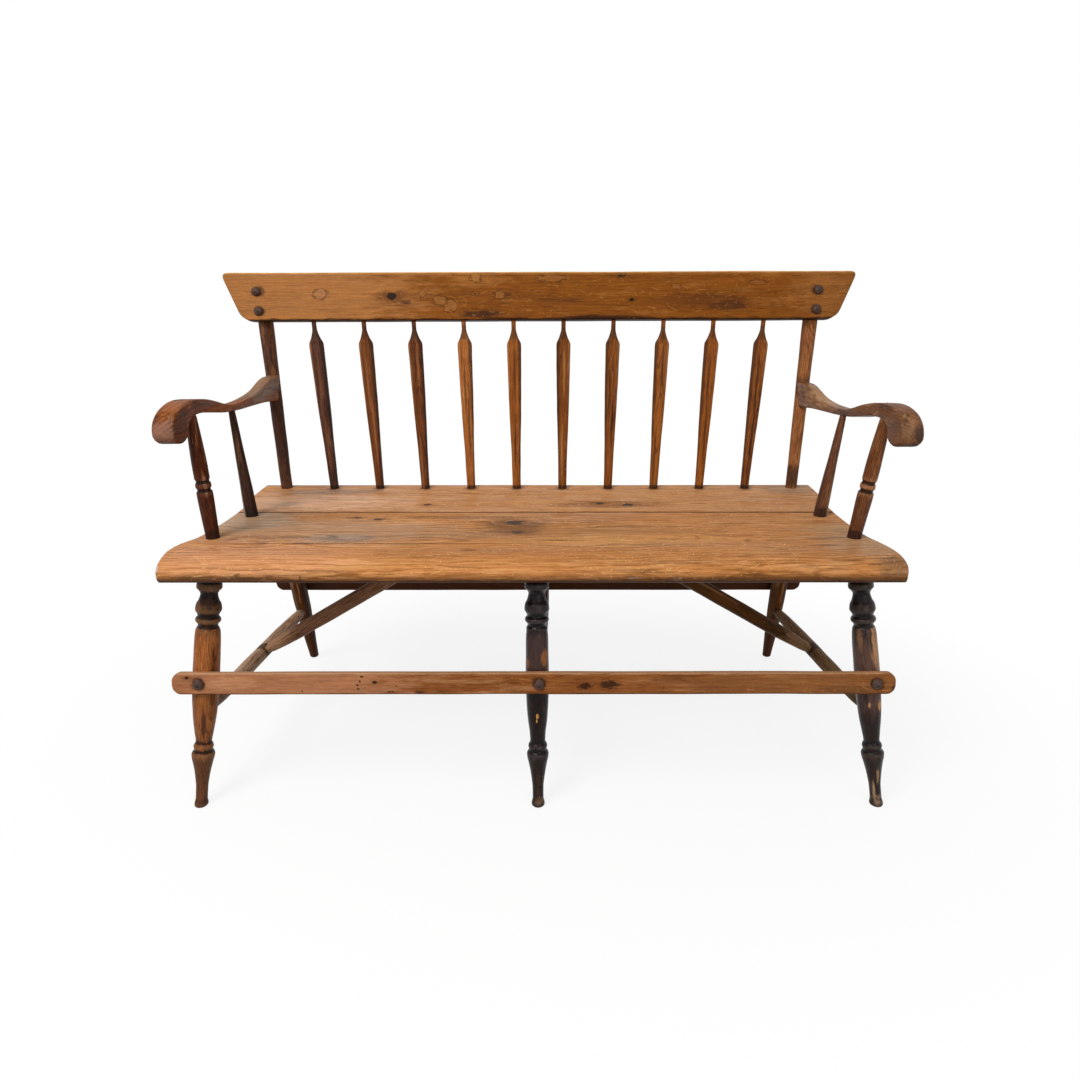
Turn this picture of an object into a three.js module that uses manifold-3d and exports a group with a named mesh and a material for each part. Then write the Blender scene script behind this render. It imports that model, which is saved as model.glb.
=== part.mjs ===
// A country-made deacon's bench: a two-board plank seat on six legs, an arrow back under one
// long crest rail, and two scrolled arms. All joints are round tenons in bored sockets, or
// boards let into round legs and posts and pegged through.
// Millimetres, +Z up. The sitter looks towards -Y, and the seat's front edge lies at Y = 0
// while the pieces are made. The last lines move the whole bench over its footprint's middle.

import * as THREE from 'three';
import { mergeVertices } from 'three/addons/utils/BufferGeometryUtils.js';
import Module from 'manifold-3d';

const wasm = await Module();
wasm.setup();

// Fits
const FIT = 0.3;            // gap left between pieces that touch
const OVERRUN = 40;         // how far a cutting solid runs past what it cuts

// Seat
const SEAT_HEIGHT = 432;
const SEAT_THICKNESS = 34;
const SEAT_DEPTH = 461;
const SEAT_HALF_LENGTH = 551;
const SEAT_SHIFT = -3;      // the plank lies this far right of the middle
const SEAT_WAIST = 22;      // how far each end is drawn in at its narrowest
const SEAT_CORNER = 2;      // plan radius of the front corners
const SEAT_NOSE_DEPTH = 50; // the soft roll of the front edge, back to the flat top
const SEAT_NOSE_DROP = 17;  // how far its most forward line lies below the top
const SEAT_UNDERCUT = 12;   // how far the lower front edge stands back
const FRONT_BOARD_SHARE = 0.577;   // the front board's share of the depth
const SEAM_GAP = 0.8;       // the seam between the two boards has opened a little
const SOCKET_DEPTH = 25;    // of the posts, spindles and legs in the seat
const SEAT_DOWEL_RADIUS = 5;
const SEAT_DOWEL_LENGTH = 60;

// Back
const BACK_LEAN = 13.2;     // degrees from upright
const POST_INSET = 20;      // post axis from the seat's back edge
const POST_FOOT_RADIUS = 11.6;
const POST_HEAD_RADIUS = 15;
const SPINDLE_COUNT = 10;
const SPINDLE_INSET = 24;
const SPINDLE_FOOT_MARGIN = 144.65; // the outer spindles' axes from the ends of the seat
const SPINDLE_HEAD_MARGIN = 176.85; // and from the ends of the rail
const SPINDLE_FOOT_SHIFT = 2.3; // the row stands this far right of the middle at the seat
const SPINDLE_HEAD_SHIFT = 1.1;
const SPINDLE_FOOT_RADIUS = 8.3;
const SPINDLE_BLADE_WIDTH = 28;
const SPINDLE_BLADE_THICKNESS = 11;
const SPINDLE_NECK_RADIUS = 4.5;
const SPINDLE_TENON = 18;

// Crest rail
const RAIL_UP = 322.5;      // its lower edge, measured up the sloping back from the seat
const RAIL_WIDTH = 92;
const RAIL_LENGTH = 1224;   // along its upper edge
const RAIL_THICKNESS = 21;
const RAIL_SLANT = 41;      // each end runs in by this much towards the lower edge
const RAIL_LOWER_CORNER = 21;
const RAIL_UPPER_CORNER = 9;
const RAIL_SHIFT = 3;       // the rail sits this far right of the middle
const RAIL_TILT = 0.2;      // degrees, its right end stands a little higher
const LET_IN = 3;           // how deep boards are let into posts and legs

// Legs
const FRONT_LEG_INSET = 82; // axis at the seat's underside, from the front edge
const FRONT_FOOT_INSET = 27;
const REAR_LEG_INSET = 76;  // axis at the seat's underside, from the back edge
const REAR_FOOT_OUT = 104;  // the rear feet stand this far behind the back edge
const TURNING_RADIUS = 19.2; // widest bead of the front legs
const REAR_LEG_RADIUS = 17;
const LEG_TENON_RADIUS = 13;

// The legs stand so far right of the seat's end that they are near, or of its middle
const frontLegs = {
  left: { side: -1, top: 42, foot: 0, shaft: 20.5, pegShift: 0 },
  middle: { side: 0, top: 2, foot: 3.4, shaft: 18.8, pegShift: 3.5 },
  right: { side: 1, top: -42.5, foot: 9.5, shaft: 19.8, pegShift: 3.5 },
};
const rearLegs = {
  left: { side: -1, top: 55, foot: 32.5, pegShift: 0 },
  middle: { side: 0, top: 3.5, foot: 4.5, pegShift: 0 },
  right: { side: 1, top: -59, foot: -30, pegShift: 0 },
};

// Stretchers and braces
const BOARD_HEIGHT = 36;
const BOARD_THICKNESS = 11;
const BOARD_CORNER = 15;
const FRONT_BOARD_PAST = 38.9;      // each end runs this far past the axis of its outer leg
const REAR_BOARD_PAST = 50.7;
const FRONT_BOARD_LEVEL = 217;      // where its middle crosses the legs
const REAR_BOARD_LEVEL = 200;
const BOARD_SHIFT = -2;
const SIDE_FRONT_LEVEL = 161;
const SIDE_REAR_LEVEL = 143.5;
const SIDE_RADIUS = 13.5;
const SIDE_TENON_RADIUS = 8;
const SIDE_TENON_PAST = 2;          // its tenons end this far past the axes of the legs
const BRACE_PLACE_SHARE = 0.508;    // where the brace stands along the side stretcher
const BRACE_HEAD_X = 110;
const BRACE_RADIUS = 13.9;
const BRACE_FOOT_RADIUS = 6.5;
const BRACE_HEAD_RADIUS = 8;
const BRACE_SOCKET = 30;

// Pegs
const PEG_RADIUS = 5;
const PEG_HEAD_RADIUS = 9.6;
const PEG_HEAD_HEIGHT = 7;
const PEG_GRIP = 17;                // length of the shank in the post or leg
const RAIL_PEG_SHARES = [0.2, 0.6]; // heights on the rail

// Arms
const ARM_HAND_FRONT = 40;  // front of the hand, behind the seat's front edge
const ARM_UP = 164;         // lowest point of the hand, above the seat
const ARM_RISE = 58;        // from there to the crown of the hand
const ARM_HAND_WIDTH = 36;
const ARM_TENON_RADIUS = 6;
const ARM_TENON_PAST = 7;   // its tenon ends this far past the axis of the back post
const ARM_TENON_ROOT = 30;  // how far the tenon reaches into the arm's end
const ARM_POST_FOOT_SHARE = 0.2657;    // where it stands, of the seat's depth
const ARM_POST_RADIUS = 11.8;
const ARM_POST_TENON_RADIUS = 6.1;
const ARM_POST_TENON = 25;
const ARM_SPINDLE_FOOT_SHARE = 0.5336;
const ARM_SPINDLE_RADIUS = 11.6;
const ARM_SPINDLE_HEAD_RADIUS = 5.6;
const ARM_SPINDLE_TENON_RADIUS = 4.4;
const ARM_SPINDLE_TENON = 6.5;

// The two ends of the bench differ a little, as made by hand. Distances in from the seat's end,
// for the head of the back post from the rail's end, and for the heads under the arm from the
// arm's middle line. A drop says how far the arm lies below the left one's level.
const ends = {
  left: {
    sign: -1, postFoot: 51, postHead: 78, hand: 17.5, handDrop: 0, rearDrop: 0,
    armPostFoot: 34, armPostHead: 8.5, armSpindleFoot: 51.5, armSpindleHead: 7.7,
  },
  right: {
    sign: 1, postFoot: 48, postHead: 79, hand: 4.5, handDrop: 4, rearDrop: 13,
    armPostFoot: 40, armPostHead: 5.5, armSpindleFoot: 54.5, armSpindleHead: 9.5,
  },
};

// Counts of facets
const LEG_SIDES = 12;
const STICK_SIDES = 10;
const PEG_SIDES = 8;
const CURVE_STEPS = 5;
const NOSE_STEPS = 9;
const DOME_STEPS = 3;
const ARM_CURVE_STEPS = 32;
const SEAT_END_STEPS = 26;

// Outlines, as shares chosen by hand of the sizes that they follow

// Seat ends from the back edge to the front corner: share of the depth, share of the waist.
// Where the share is below zero, the end stands out a little past the front corner
const seatEndShares = {
  left: [
    [1, 0.33], [0.865, 0.39], [0.78, 0.52], [0.7, 0.75], [0.636, 0.91], [0.56, 0.98],
    [0.475, 0.95], [0.37, 0.8], [0.3, 0.62], [0.26, 0.42], [0.228, 0.12], [0.195, -0.15],
    [0.163, -0.28], [0.13, -0.32], [0.08, -0.2], [0.03, -0.09],
  ],
  right: [
    [1, 0.18], [0.865, 0.26], [0.78, 0.46], [0.7, 0.68], [0.636, 0.82], [0.56, 0.88],
    [0.475, 0.88], [0.37, 0.79], [0.3, 0.65], [0.26, 0.48], [0.228, 0.28], [0.195, 0.1],
    [0.163, -0.05], [0.13, -0.13], [0.08, -0.15], [0.03, -0.13],
  ],
};

// Front leg, from the floor up: share of the leg's length, share of the radius
const ankleShares = [
  [-0.05, 0.52], [0, 0.55], [0.008, 0.57], [0.035, 0.48], [0.085, 0.49], [0.115, 0.55],
  [0.155, 0.665], [0.19, 0.81], [0.213, 0.915], [0.226, 0.94], [0.236, 0.86], [0.242, 0.76],
  [0.25, 0.77], [0.258, 0.815], [0.266, 0.78], [0.278, 0.65],
];
const shaftShares = [
  [0.315, 0.7], [0.37, 0.84], [0.42, 0.925], [0.47, 0.97], [0.58, 1], [0.66, 0.98],
  [0.72, 0.95], [0.742, 0.915],
];
const vaseShares = [
  [0.753, 0.9], [0.764, 0.78], [0.773, 0.84], [0.78, 0.97], [0.787, 1.01], [0.795, 0.95],
  [0.803, 0.82], [0.812, 0.88], [0.828, 1.04], [0.848, 0.99], [0.868, 0.8], [0.892, 0.69],
  [0.905, 0.81], [0.917, 1.01], [0.93, 1], [0.945, 0.84], [0.965, 0.71],
];
const rearLegShares = [
  [-0.06, 0.54], [0, 0.57], [0.05, 0.62], [0.14, 0.73], [0.25, 0.86], [0.36, 0.95],
  [0.46, 1], [0.66, 1], [0.86, 0.9], [0.96, 0.79],
];

// Sticks: share of the length between the joints, share of the radius
const sideShares = [[0.05, 0.7], [0.13, 0.88], [0.35, 1], [0.6, 0.99], [0.85, 0.87], [0.955, 0.7]];
const braceShares = [[0.038, 0.66], [0.065, 0.77], [0.18, 0.96], [0.5, 1], [0.86, 1]];
const armPostShares = [
  [0.18, 1], [0.31, 1.05], [0.345, 1.04], [0.36, 0.86], [0.372, 0.86], [0.382, 1],
  [0.398, 1.03], [0.41, 0.99], [0.42, 0.86], [0.432, 0.86], [0.446, 0.99], [0.52, 0.99],
  [0.68, 0.91], [0.82, 0.78],
];

// Arrow spindle from the seat to the shoulders: share of the shoulders' height, share of the
// blade's width. The thickness goes evenly from the round foot to the thin blade.
const bladeShares = [
  [0.13, 0.62], [0.26, 0.665], [0.4, 0.755], [0.54, 0.84], [0.69, 0.905], [0.83, 0.95], [0.93, 0.98],
];
const SHOULDER_SHARE = 0.862;   // height of the shoulders on the way from the seat to the rail
const NECK_SHARE = 0.955;

// Arm outline seen from its side: share of the way from the hand's front to the back post,
// share of the rise
const armTopShares = [
  [0, 0.24], [0.002, 0.45], [0.016, 0.655], [0.045, 0.83], [0.085, 0.94], [0.135, 1],
  [0.19, 0.985], [0.265, 0.905], [0.34, 0.775], [0.417, 0.615], [0.484, 0.51], [0.56, 0.475],
  [0.65, 0.49], [0.74, 0.555], [0.798, 0.64], [0.84, 0.74], [0.888, 0.845], [0.93, 0.893], [1, 0.9],
];
const armUnderShares = [
  [1, 0.05], [0.942, 0.08], [0.823, 0.165], [0.675, 0.215], [0.554, 0.255], [0.419, 0.345],
  [0.289, 0.51], [0.213, 0.585], [0.157, 0.575], [0.123, 0.5], [0.108, 0.36], [0.103, 0.207],
  [0.087, 0.08], [0.063, 0.01], [0.036, 0.017], [0.013, 0.1],
];
// Arm seen from above: share of the way back, share of the hand's width
const armWidthShares = [[0, 1], [0.22, 1], [0.45, 0.82], [0.7, 0.69], [1, 0.66]];
const ARM_POST_SHARE = 0.16;    // where the arm post comes through, on the way back
const ARM_SPINDLE_SHARE = 0.498;
const ARM_UNDER_SPINDLE_SHARE = 0.29;   // height of the underside over the arm spindle

// Where the seat dowels lie, as shares of the seat's half length
const dowelShares = [-0.73, -0.36, 0.36, 0.73];

// Derived places
const underside = SEAT_HEIGHT - SEAT_THICKNESS;
const leanAngle = THREE.MathUtils.degToRad(BACK_LEAN);
const postLine = SEAT_DEPTH - POST_INSET;
const seamLine = SEAT_DEPTH * FRONT_BOARD_SHARE;
const armLow = SEAT_HEIGHT + ARM_UP;
const railBackFace = POST_HEAD_RADIUS - LET_IN;
const railMidPlane = railBackFace + RAIL_THICKNESS / 2;
const railFrontFace = railBackFace + RAIL_THICKNESS;

// Solids

function withoutThinFaces(index) {
  const kept = [];
  for (let i = 0; i < index.length; i += 3) {
    const [a, b, c] = [index[i], index[i + 1], index[i + 2]];
    if (a !== b && b !== c && c !== a) kept.push(a, b, c);
  }
  return new Uint32Array(kept);
}

// A closed solid from a geometry, moved by a matrix
function solidFrom(geometry, matrix = new THREE.Matrix4()) {
  let bare = geometry.clone().deleteAttribute('normal').deleteAttribute('uv');
  bare = mergeVertices(bare.applyMatrix4(matrix));
  return new wasm.Manifold(new wasm.Mesh({
    numProp: 3,
    vertProperties: new Float32Array(bare.attributes.position.array),
    triVerts: withoutThinFaces(bare.index.array),
  }));
}

function geometryFrom(solid) {
  const mesh = solid.getMesh();
  const geometry = new THREE.BufferGeometry();
  geometry.setAttribute('position', new THREE.BufferAttribute(mesh.vertProperties, mesh.numProp));
  geometry.setIndex(new THREE.BufferAttribute(mesh.triVerts, 1));
  geometry.computeVertexNormals();
  return geometry;
}

// A blank is a geometry in its own frame. A cutter is one too, so either can be moved into
// any piece's frame before it is joined or cut.
function blank(geometry, frame) {
  return { geometry, frame };
}

function placedIn(frame, part) {
  return solidFrom(part.geometry, frame.clone().invert().multiply(part.frame));
}

// A named piece: its blank, cut by every cutter, with its own tenons joined to it
function piece(name, material, body, { cutters = [], tenons = [] } = {}) {
  let solid = solidFrom(body.geometry);
  for (const cutter of cutters) solid = solid.subtract(placedIn(body.frame, cutter));
  for (const tenon of tenons) solid = solid.add(placedIn(body.frame, tenon));
  const mesh = new THREE.Mesh(geometryFrom(solid), material);
  mesh.name = name;
  mesh.applyMatrix4(body.frame);
  return mesh;
}

// A frame whose Y axis runs from one point to another. Its X axis stays as near as it can to
// the bench's X, or to its Y for a stick that lies along X.
function frameAlong(from, to) {
  const y = to.clone().sub(from).normalize();
  const near = Math.abs(y.x) > Math.SQRT1_2 ? new THREE.Vector3(0, 1, 0) : new THREE.Vector3(1, 0, 0);
  const x = near.addScaledVector(y, -near.dot(y)).normalize();
  const z = x.clone().cross(y);
  return new THREE.Matrix4().makeBasis(x, y, z).setPosition(from);
}

// A frame on a leaning plane: X across the bench, Y up the slope, Z out to the front
function leaningFrame(origin, angle, roll = 0) {
  const frame = new THREE.Matrix4().makeRotationX(Math.PI / 2 - angle).setPosition(origin);
  return frame.multiply(new THREE.Matrix4().makeRotationZ(roll));
}

// A turned solid about its Y axis from [distance, radius] pairs, grown all round by a gap
function turnedGeometry(profile, sides, grow = 0) {
  const outline = profile.map(([along, radius]) => new THREE.Vector2(radius + grow, along));
  outline[0].y -= grow;
  outline.at(-1).y += grow;
  const start = new THREE.Vector2(0, outline[0].y);
  const end = new THREE.Vector2(0, outline.at(-1).y);
  return new THREE.LatheGeometry([start, ...outline, end], sides);
}

// A turned stick between two points, with the socket that it needs in its neighbours
function stick(from, to, profile, sides) {
  const frame = frameAlong(from, to);
  return {
    body: blank(turnedGeometry(profile, sides), frame),
    socket: blank(turnedGeometry(profile, sides, FIT), frame),
  };
}

function boxBetween(low, high) {
  const size = high.clone().sub(low);
  const geometry = new THREE.BoxGeometry(size.x, size.y, size.z);
  const middle = low.clone().add(high).multiplyScalar(0.5);
  return blank(geometry.translate(middle.x, middle.y, middle.z), new THREE.Matrix4());
}

const shapeFrom = (points) => new THREE.Shape(points.map(([x, y]) => new THREE.Vector2(x, y)));
const smooth = (points, steps) =>
  new THREE.SplineCurve(points.map(([x, y]) => new THREE.Vector2(x, y))).getPoints(steps)
    .map((point) => [point.x, point.y]);

// Value at a place in a list of [place, value] pairs, straight between them
function between(pairs, place) {
  const next = Math.max(1, pairs.findIndex(([at]) => at >= place));
  const [[at0, value0], [at1, value1]] = [pairs[next - 1], pairs[next]];
  return THREE.MathUtils.mapLinear(place, at0, at1, value0, value1);
}

// Materials

function wood(color, roughness) {
  return new THREE.MeshStandardMaterial({ color, roughness, metalness: 0 });
}

const seatPine = () => wood(0xb07c50, 0.62);
const railPine = () => wood(0xa86b38, 0.55);
const goldenWood = () => wood(0x8f5a2c, 0.55);
const darkWood = () => wood(0x55331f, 0.5);
const armWood = () => wood(0x7d5030, 0.5);
const redWood = () => wood(0x6e3b22, 0.5);
const boardPine = () => wood(0xb0744a, 0.6);
const greyWood = () => wood(0x6b5646, 0.7);
const pegWood = () => wood(0x3e2c24, 0.5);

// Places on the back, the legs and the arms

const floorPoint = (x, y) => new THREE.Vector3(x, y, 0);
const fromSeatEnd = (end, inset) => end.sign * (SEAT_HALF_LENGTH - inset);
const legAcross = (leg, offset) => leg.side * SEAT_HALF_LENGTH + offset;

function backPoint(x, up, forward = 0) {
  const frame = leaningFrame(new THREE.Vector3(0, postLine, SEAT_HEIGHT), leanAngle);
  return new THREE.Vector3(x, up, forward).applyMatrix4(frame);
}

function legEnds(leg, isFront) {
  const topY = isFront ? FRONT_LEG_INSET : SEAT_DEPTH - REAR_LEG_INSET;
  const footY = isFront ? FRONT_FOOT_INSET : SEAT_DEPTH + REAR_FOOT_OUT;
  const foot = floorPoint(legAcross(leg, leg.foot), footY);
  return { foot, top: new THREE.Vector3(legAcross(leg, leg.top), topY, underside) };
}

function legPoint(leg, isFront, level) {
  const { foot, top } = legEnds(leg, isFront);
  return foot.clone().lerp(top, level / underside);
}

function postPoint(end, up) {
  const foot = fromSeatEnd(end, end.postFoot);
  const head = end.sign * (RAIL_LENGTH / 2 - end.postHead);
  return backPoint(THREE.MathUtils.mapLinear(up, 0, RAIL_UP, foot, head), up);
}

// Back posts

const postHead = RAIL_UP + RAIL_WIDTH * 0.86;

function postStick(end) {
  const foot = postPoint(end, 0);
  const head = postPoint(end, postHead);
  const length = foot.distanceTo(head);
  const profile = [
    [-SOCKET_DEPTH, POST_FOOT_RADIUS],
    [0, POST_FOOT_RADIUS],
    [length * RAIL_UP / postHead, POST_HEAD_RADIUS],
    [length, POST_HEAD_RADIUS],
  ];
  return stick(foot, head, profile, LEG_SIDES);
}

const postSticks = { left: postStick(ends.left), right: postStick(ends.right) };

// Crest rail

const railTilt = THREE.MathUtils.degToRad(RAIL_TILT);
const railFrame = leaningFrame(backPoint(RAIL_SHIFT, RAIL_UP), leanAngle, railTilt);

function railShape() {
  const top = RAIL_LENGTH / 2;
  const bottom = top - RAIL_SLANT;
  const endLength = Math.hypot(RAIL_SLANT, RAIL_WIDTH);
  const upper = RAIL_UPPER_CORNER / endLength;
  const lower = RAIL_LOWER_CORNER / endLength;
  const shape = new THREE.Shape();
  shape.moveTo(-bottom + RAIL_LOWER_CORNER, 0);
  shape.lineTo(bottom - RAIL_LOWER_CORNER, 0);
  shape.quadraticCurveTo(bottom, 0, bottom + RAIL_SLANT * lower, RAIL_WIDTH * lower);
  shape.lineTo(top - RAIL_SLANT * upper, RAIL_WIDTH * (1 - upper));
  shape.quadraticCurveTo(top, RAIL_WIDTH, top - RAIL_UPPER_CORNER, RAIL_WIDTH);
  shape.lineTo(-top + RAIL_UPPER_CORNER, RAIL_WIDTH);
  shape.quadraticCurveTo(-top, RAIL_WIDTH, -top + RAIL_SLANT * upper, RAIL_WIDTH * (1 - upper));
  shape.lineTo(-bottom - RAIL_SLANT * lower, RAIL_WIDTH * lower);
  shape.quadraticCurveTo(-bottom, 0, -bottom + RAIL_LOWER_CORNER, 0);
  return shape;
}

// The rail's slab between two faces, grown by a gap where it cuts the posts
function railSlab(grow = 0) {
  const shape = railShape();
  const settings = { depth: RAIL_THICKNESS + 2 * grow, bevelEnabled: false, curveSegments: CURVE_STEPS };
  const geometry = new THREE.ExtrudeGeometry(shape, settings);
  geometry.translate(0, 0, railBackFace - grow);
  return blank(geometry, railFrame);
}

// The seat for the rail in a post: a box, so that it is open above the rail's lower edge
function railSeat() {
  const half = RAIL_LENGTH / 2;
  const low = new THREE.Vector3(-half, -FIT, railBackFace - FIT);
  const high = new THREE.Vector3(half, RAIL_WIDTH + OVERRUN, railFrontFace + OVERRUN);
  return blank(boxBetween(low, high).geometry, railFrame);
}

// Pegs: a shank from the board's outer face inwards, and a domed head over that face

function pegGeometry(grip) {
  const dome = new THREE.EllipseCurve(0, 0, PEG_HEAD_RADIUS, PEG_HEAD_HEIGHT, 0, Math.PI / 2);
  const head = dome.getPoints(DOME_STEPS).slice(0, -1).map((point) => [FIT + point.y, point.x]);
  const profile = [[-grip, PEG_RADIUS], [FIT, PEG_RADIUS], ...head];
  const outline = profile.map(([along, radius]) => new THREE.Vector2(radius, along));
  const tip = new THREE.Vector2(0, -grip);
  const crown = new THREE.Vector2(0, FIT + PEG_HEAD_HEIGHT);
  return new THREE.LatheGeometry([tip, ...outline, crown], PEG_SIDES);
}

// A peg at a place on a board, pointing into it from its outer face
function peg(place, outward, thickness) {
  const frame = frameAlong(place, place.clone().add(outward));
  const grip = thickness + PEG_GRIP;
  const bore = [[-grip, PEG_RADIUS], [OVERRUN, PEG_RADIUS]];
  return {
    body: blank(pegGeometry(grip), frame),
    socket: blank(turnedGeometry(bore, PEG_SIDES, FIT), frame),
  };
}

function outwardOf(frame, sign) {
  return new THREE.Vector3().setFromMatrixColumn(frame, 2).multiplyScalar(sign);
}

function railPegs() {
  const pegs = [];
  for (const end of [ends.left, ends.right]) {
    for (const share of RAIL_PEG_SHARES) {
      const up = RAIL_WIDTH * share;
      const across = postPoint(end, RAIL_UP + up).x - RAIL_SHIFT;
      const place = new THREE.Vector3(across, up, railFrontFace).applyMatrix4(railFrame);
      pegs.push(peg(place, outwardOf(railFrame, 1), RAIL_THICKNESS));
    }
  }
  return pegs;
}

const crestPegs = railPegs();

// Arrow spindles

function spindleStick(number) {
  const place = number / (SPINDLE_COUNT - 1) - 1 / 2;
  const footRow = 2 * (SEAT_HALF_LENGTH - SPINDLE_FOOT_MARGIN);
  const headRow = RAIL_LENGTH - 2 * SPINDLE_HEAD_MARGIN;
  const foot = new THREE.Vector3(
    SPINDLE_FOOT_SHIFT + footRow * place, SEAT_DEPTH - SPINDLE_INSET, SEAT_HEIGHT);
  const head = backPoint(SPINDLE_HEAD_SHIFT + headRow * place, RAIL_UP, railMidPlane);
  const length = foot.distanceTo(head);
  const shoulder = length * SHOULDER_SHARE;
  const half = SPINDLE_BLADE_WIDTH / 2;
  const profile = [
    [-SOCKET_DEPTH, SPINDLE_FOOT_RADIUS],
    [0, SPINDLE_FOOT_RADIUS],
    ...bladeShares.map(([up, out]) => [up * shoulder, out * half]),
    [shoulder, half],
    [length * NECK_SHARE, SPINDLE_NECK_RADIUS],
    [length + SPINDLE_TENON, SPINDLE_NECK_RADIUS],
  ];
  const thinness = [
    [-SOCKET_DEPTH - OVERRUN, 1], [0, 1],
    [shoulder, SPINDLE_BLADE_THICKNESS / SPINDLE_BLADE_WIDTH],
    [length * NECK_SHARE, 1], [length + SPINDLE_TENON + OVERRUN, 1],
  ];
  const made = stick(foot, head, profile, STICK_SIDES);
  flatten(made.body.geometry, thinness);
  flatten(made.socket.geometry, thinness);
  return made;
}

// Makes a turned solid thinner from front to back, by a share that changes along it
function flatten(geometry, thinness) {
  const places = geometry.attributes.position;
  for (let i = 0; i < places.count; i += 1) {
    places.setZ(i, places.getZ(i) * between(thinness, places.getY(i)));
  }
}

const spindleSticks = Array.from({ length: SPINDLE_COUNT }, (_, number) => spindleStick(number));

// Legs, made long and cut level with the floor

function legStick(leg, isFront, shares) {
  const { foot, top } = legEnds(leg, isFront);
  const length = foot.distanceTo(top);
  const profile = [
    ...shares.map(([up, radius]) => [up * length, radius]),
    [length, LEG_TENON_RADIUS],
    [length + SOCKET_DEPTH, LEG_TENON_RADIUS],
  ];
  return stick(foot, top, profile, LEG_SIDES);
}

function frontLegStick(leg) {
  const scaled = (shares, radius) => shares.map(([up, out]) => [up, out * radius]);
  return legStick(leg, true, [
    ...scaled(ankleShares, TURNING_RADIUS),
    ...scaled(shaftShares, leg.shaft),
    ...scaled(vaseShares, TURNING_RADIUS),
  ]);
}

function rearLegStick(leg) {
  return legStick(leg, false, rearLegShares.map(([up, out]) => [up, out * REAR_LEG_RADIUS]));
}

const legNames = Object.keys(frontLegs);
const frontLegSticks = Object.fromEntries(legNames.map((name) => [name, frontLegStick(frontLegs[name])]));
const rearLegSticks = Object.fromEntries(legNames.map((name) => [name, rearLegStick(rearLegs[name])]));

const floorCutter = boxBetween(
  new THREE.Vector3(-RAIL_LENGTH, -SEAT_DEPTH, -SEAT_HEIGHT),
  new THREE.Vector3(RAIL_LENGTH, 2 * SEAT_DEPTH, 0));

// Stretcher boards, let into the legs and pegged through. The front one lies before its legs
// and the rear one behind them, each in the plane of its legs.

function boardFrame(isFront) {
  const { foot, top } = legEnds(isFront ? frontLegs.middle : rearLegs.middle, isFront);
  const level = isFront ? FRONT_BOARD_LEVEL : REAR_BOARD_LEVEL;
  const angle = Math.atan2(top.y - foot.y, underside);
  const place = legPoint(isFront ? frontLegs.middle : rearLegs.middle, isFront, level);
  return leaningFrame(place.setX(BOARD_SHIFT), angle);
}

const boardStandoff = {
  front: Math.min(...legNames.map((name) => frontLegs[name].shaft)) - LET_IN / 2,
  rear: REAR_LEG_RADIUS - LET_IN,
};

// Half the length of a stretcher board, from the spread of its outer legs where it crosses them
function boardHalf(isFront) {
  const legs = isFront ? frontLegs : rearLegs;
  const level = isFront ? FRONT_BOARD_LEVEL : REAR_BOARD_LEVEL;
  const spread = legPoint(legs.right, isFront, level).x - legPoint(legs.left, isFront, level).x;
  return spread / 2 + (isFront ? FRONT_BOARD_PAST : REAR_BOARD_PAST);
}

function boardSlab(isFront, grow = 0) {
  const half = boardHalf(isFront) + grow;
  const rise = BOARD_HEIGHT / 2 + grow;
  const corner = BOARD_CORNER;
  const shape = new THREE.Shape();
  shape.moveTo(-half + corner, -rise);
  shape.lineTo(half - corner, -rise);
  shape.absarc(half - corner, -rise + corner, corner, -Math.PI / 2, 0);
  shape.absarc(half - corner, rise - corner, corner, 0, Math.PI / 2);
  shape.lineTo(-half + corner, rise);
  shape.absarc(-half + corner, rise - corner, corner, Math.PI / 2, Math.PI);
  shape.absarc(-half + corner, -rise + corner, corner, Math.PI, 1.5 * Math.PI);
  const settings = { depth: BOARD_THICKNESS + 2 * grow, bevelEnabled: false, curveSegments: CURVE_STEPS };
  const geometry = new THREE.ExtrudeGeometry(shape, settings);
  const nearFace = isFront ? boardStandoff.front : -boardStandoff.rear - BOARD_THICKNESS;
  return blank(geometry.translate(0, 0, nearFace - grow), boardFrame(isFront));
}

function boardPegs(isFront) {
  const frame = boardFrame(isFront);
  const legs = isFront ? frontLegs : rearLegs;
  const sign = isFront ? 1 : -1;
  const outerFace = sign * ((isFront ? boardStandoff.front : boardStandoff.rear) + BOARD_THICKNESS);
  const level = isFront ? FRONT_BOARD_LEVEL : REAR_BOARD_LEVEL;
  return legNames.map((name) => {
    const across = legPoint(legs[name], isFront, level).x + legs[name].pegShift - BOARD_SHIFT;
    const place = new THREE.Vector3(across, 0, outerFace).applyMatrix4(frame);
    return peg(place, outwardOf(frame, sign), BOARD_THICKNESS);
  });
}

const frontPegs = boardPegs(true);
const rearPegs = boardPegs(false);

// Side stretchers from each front leg to the rear leg behind it

function sideStick(name) {
  const front = legPoint(frontLegs[name], true, SIDE_FRONT_LEVEL);
  const rear = legPoint(rearLegs[name], false, SIDE_REAR_LEVEL);
  const length = front.distanceTo(rear);
  const profile = [
    [-SIDE_TENON_PAST, SIDE_TENON_RADIUS],
    ...sideShares.map(([along, out]) => [along * length, out * SIDE_RADIUS]),
    [length + SIDE_TENON_PAST, SIDE_TENON_RADIUS],
  ];
  return { ...stick(front, rear, profile, STICK_SIDES), front, rear };
}

const sideSticks = Object.fromEntries(legNames.map((name) => [name, sideStick(name)]));

// Diagonal braces from the outer side stretchers up to the underside of the seat

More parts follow.
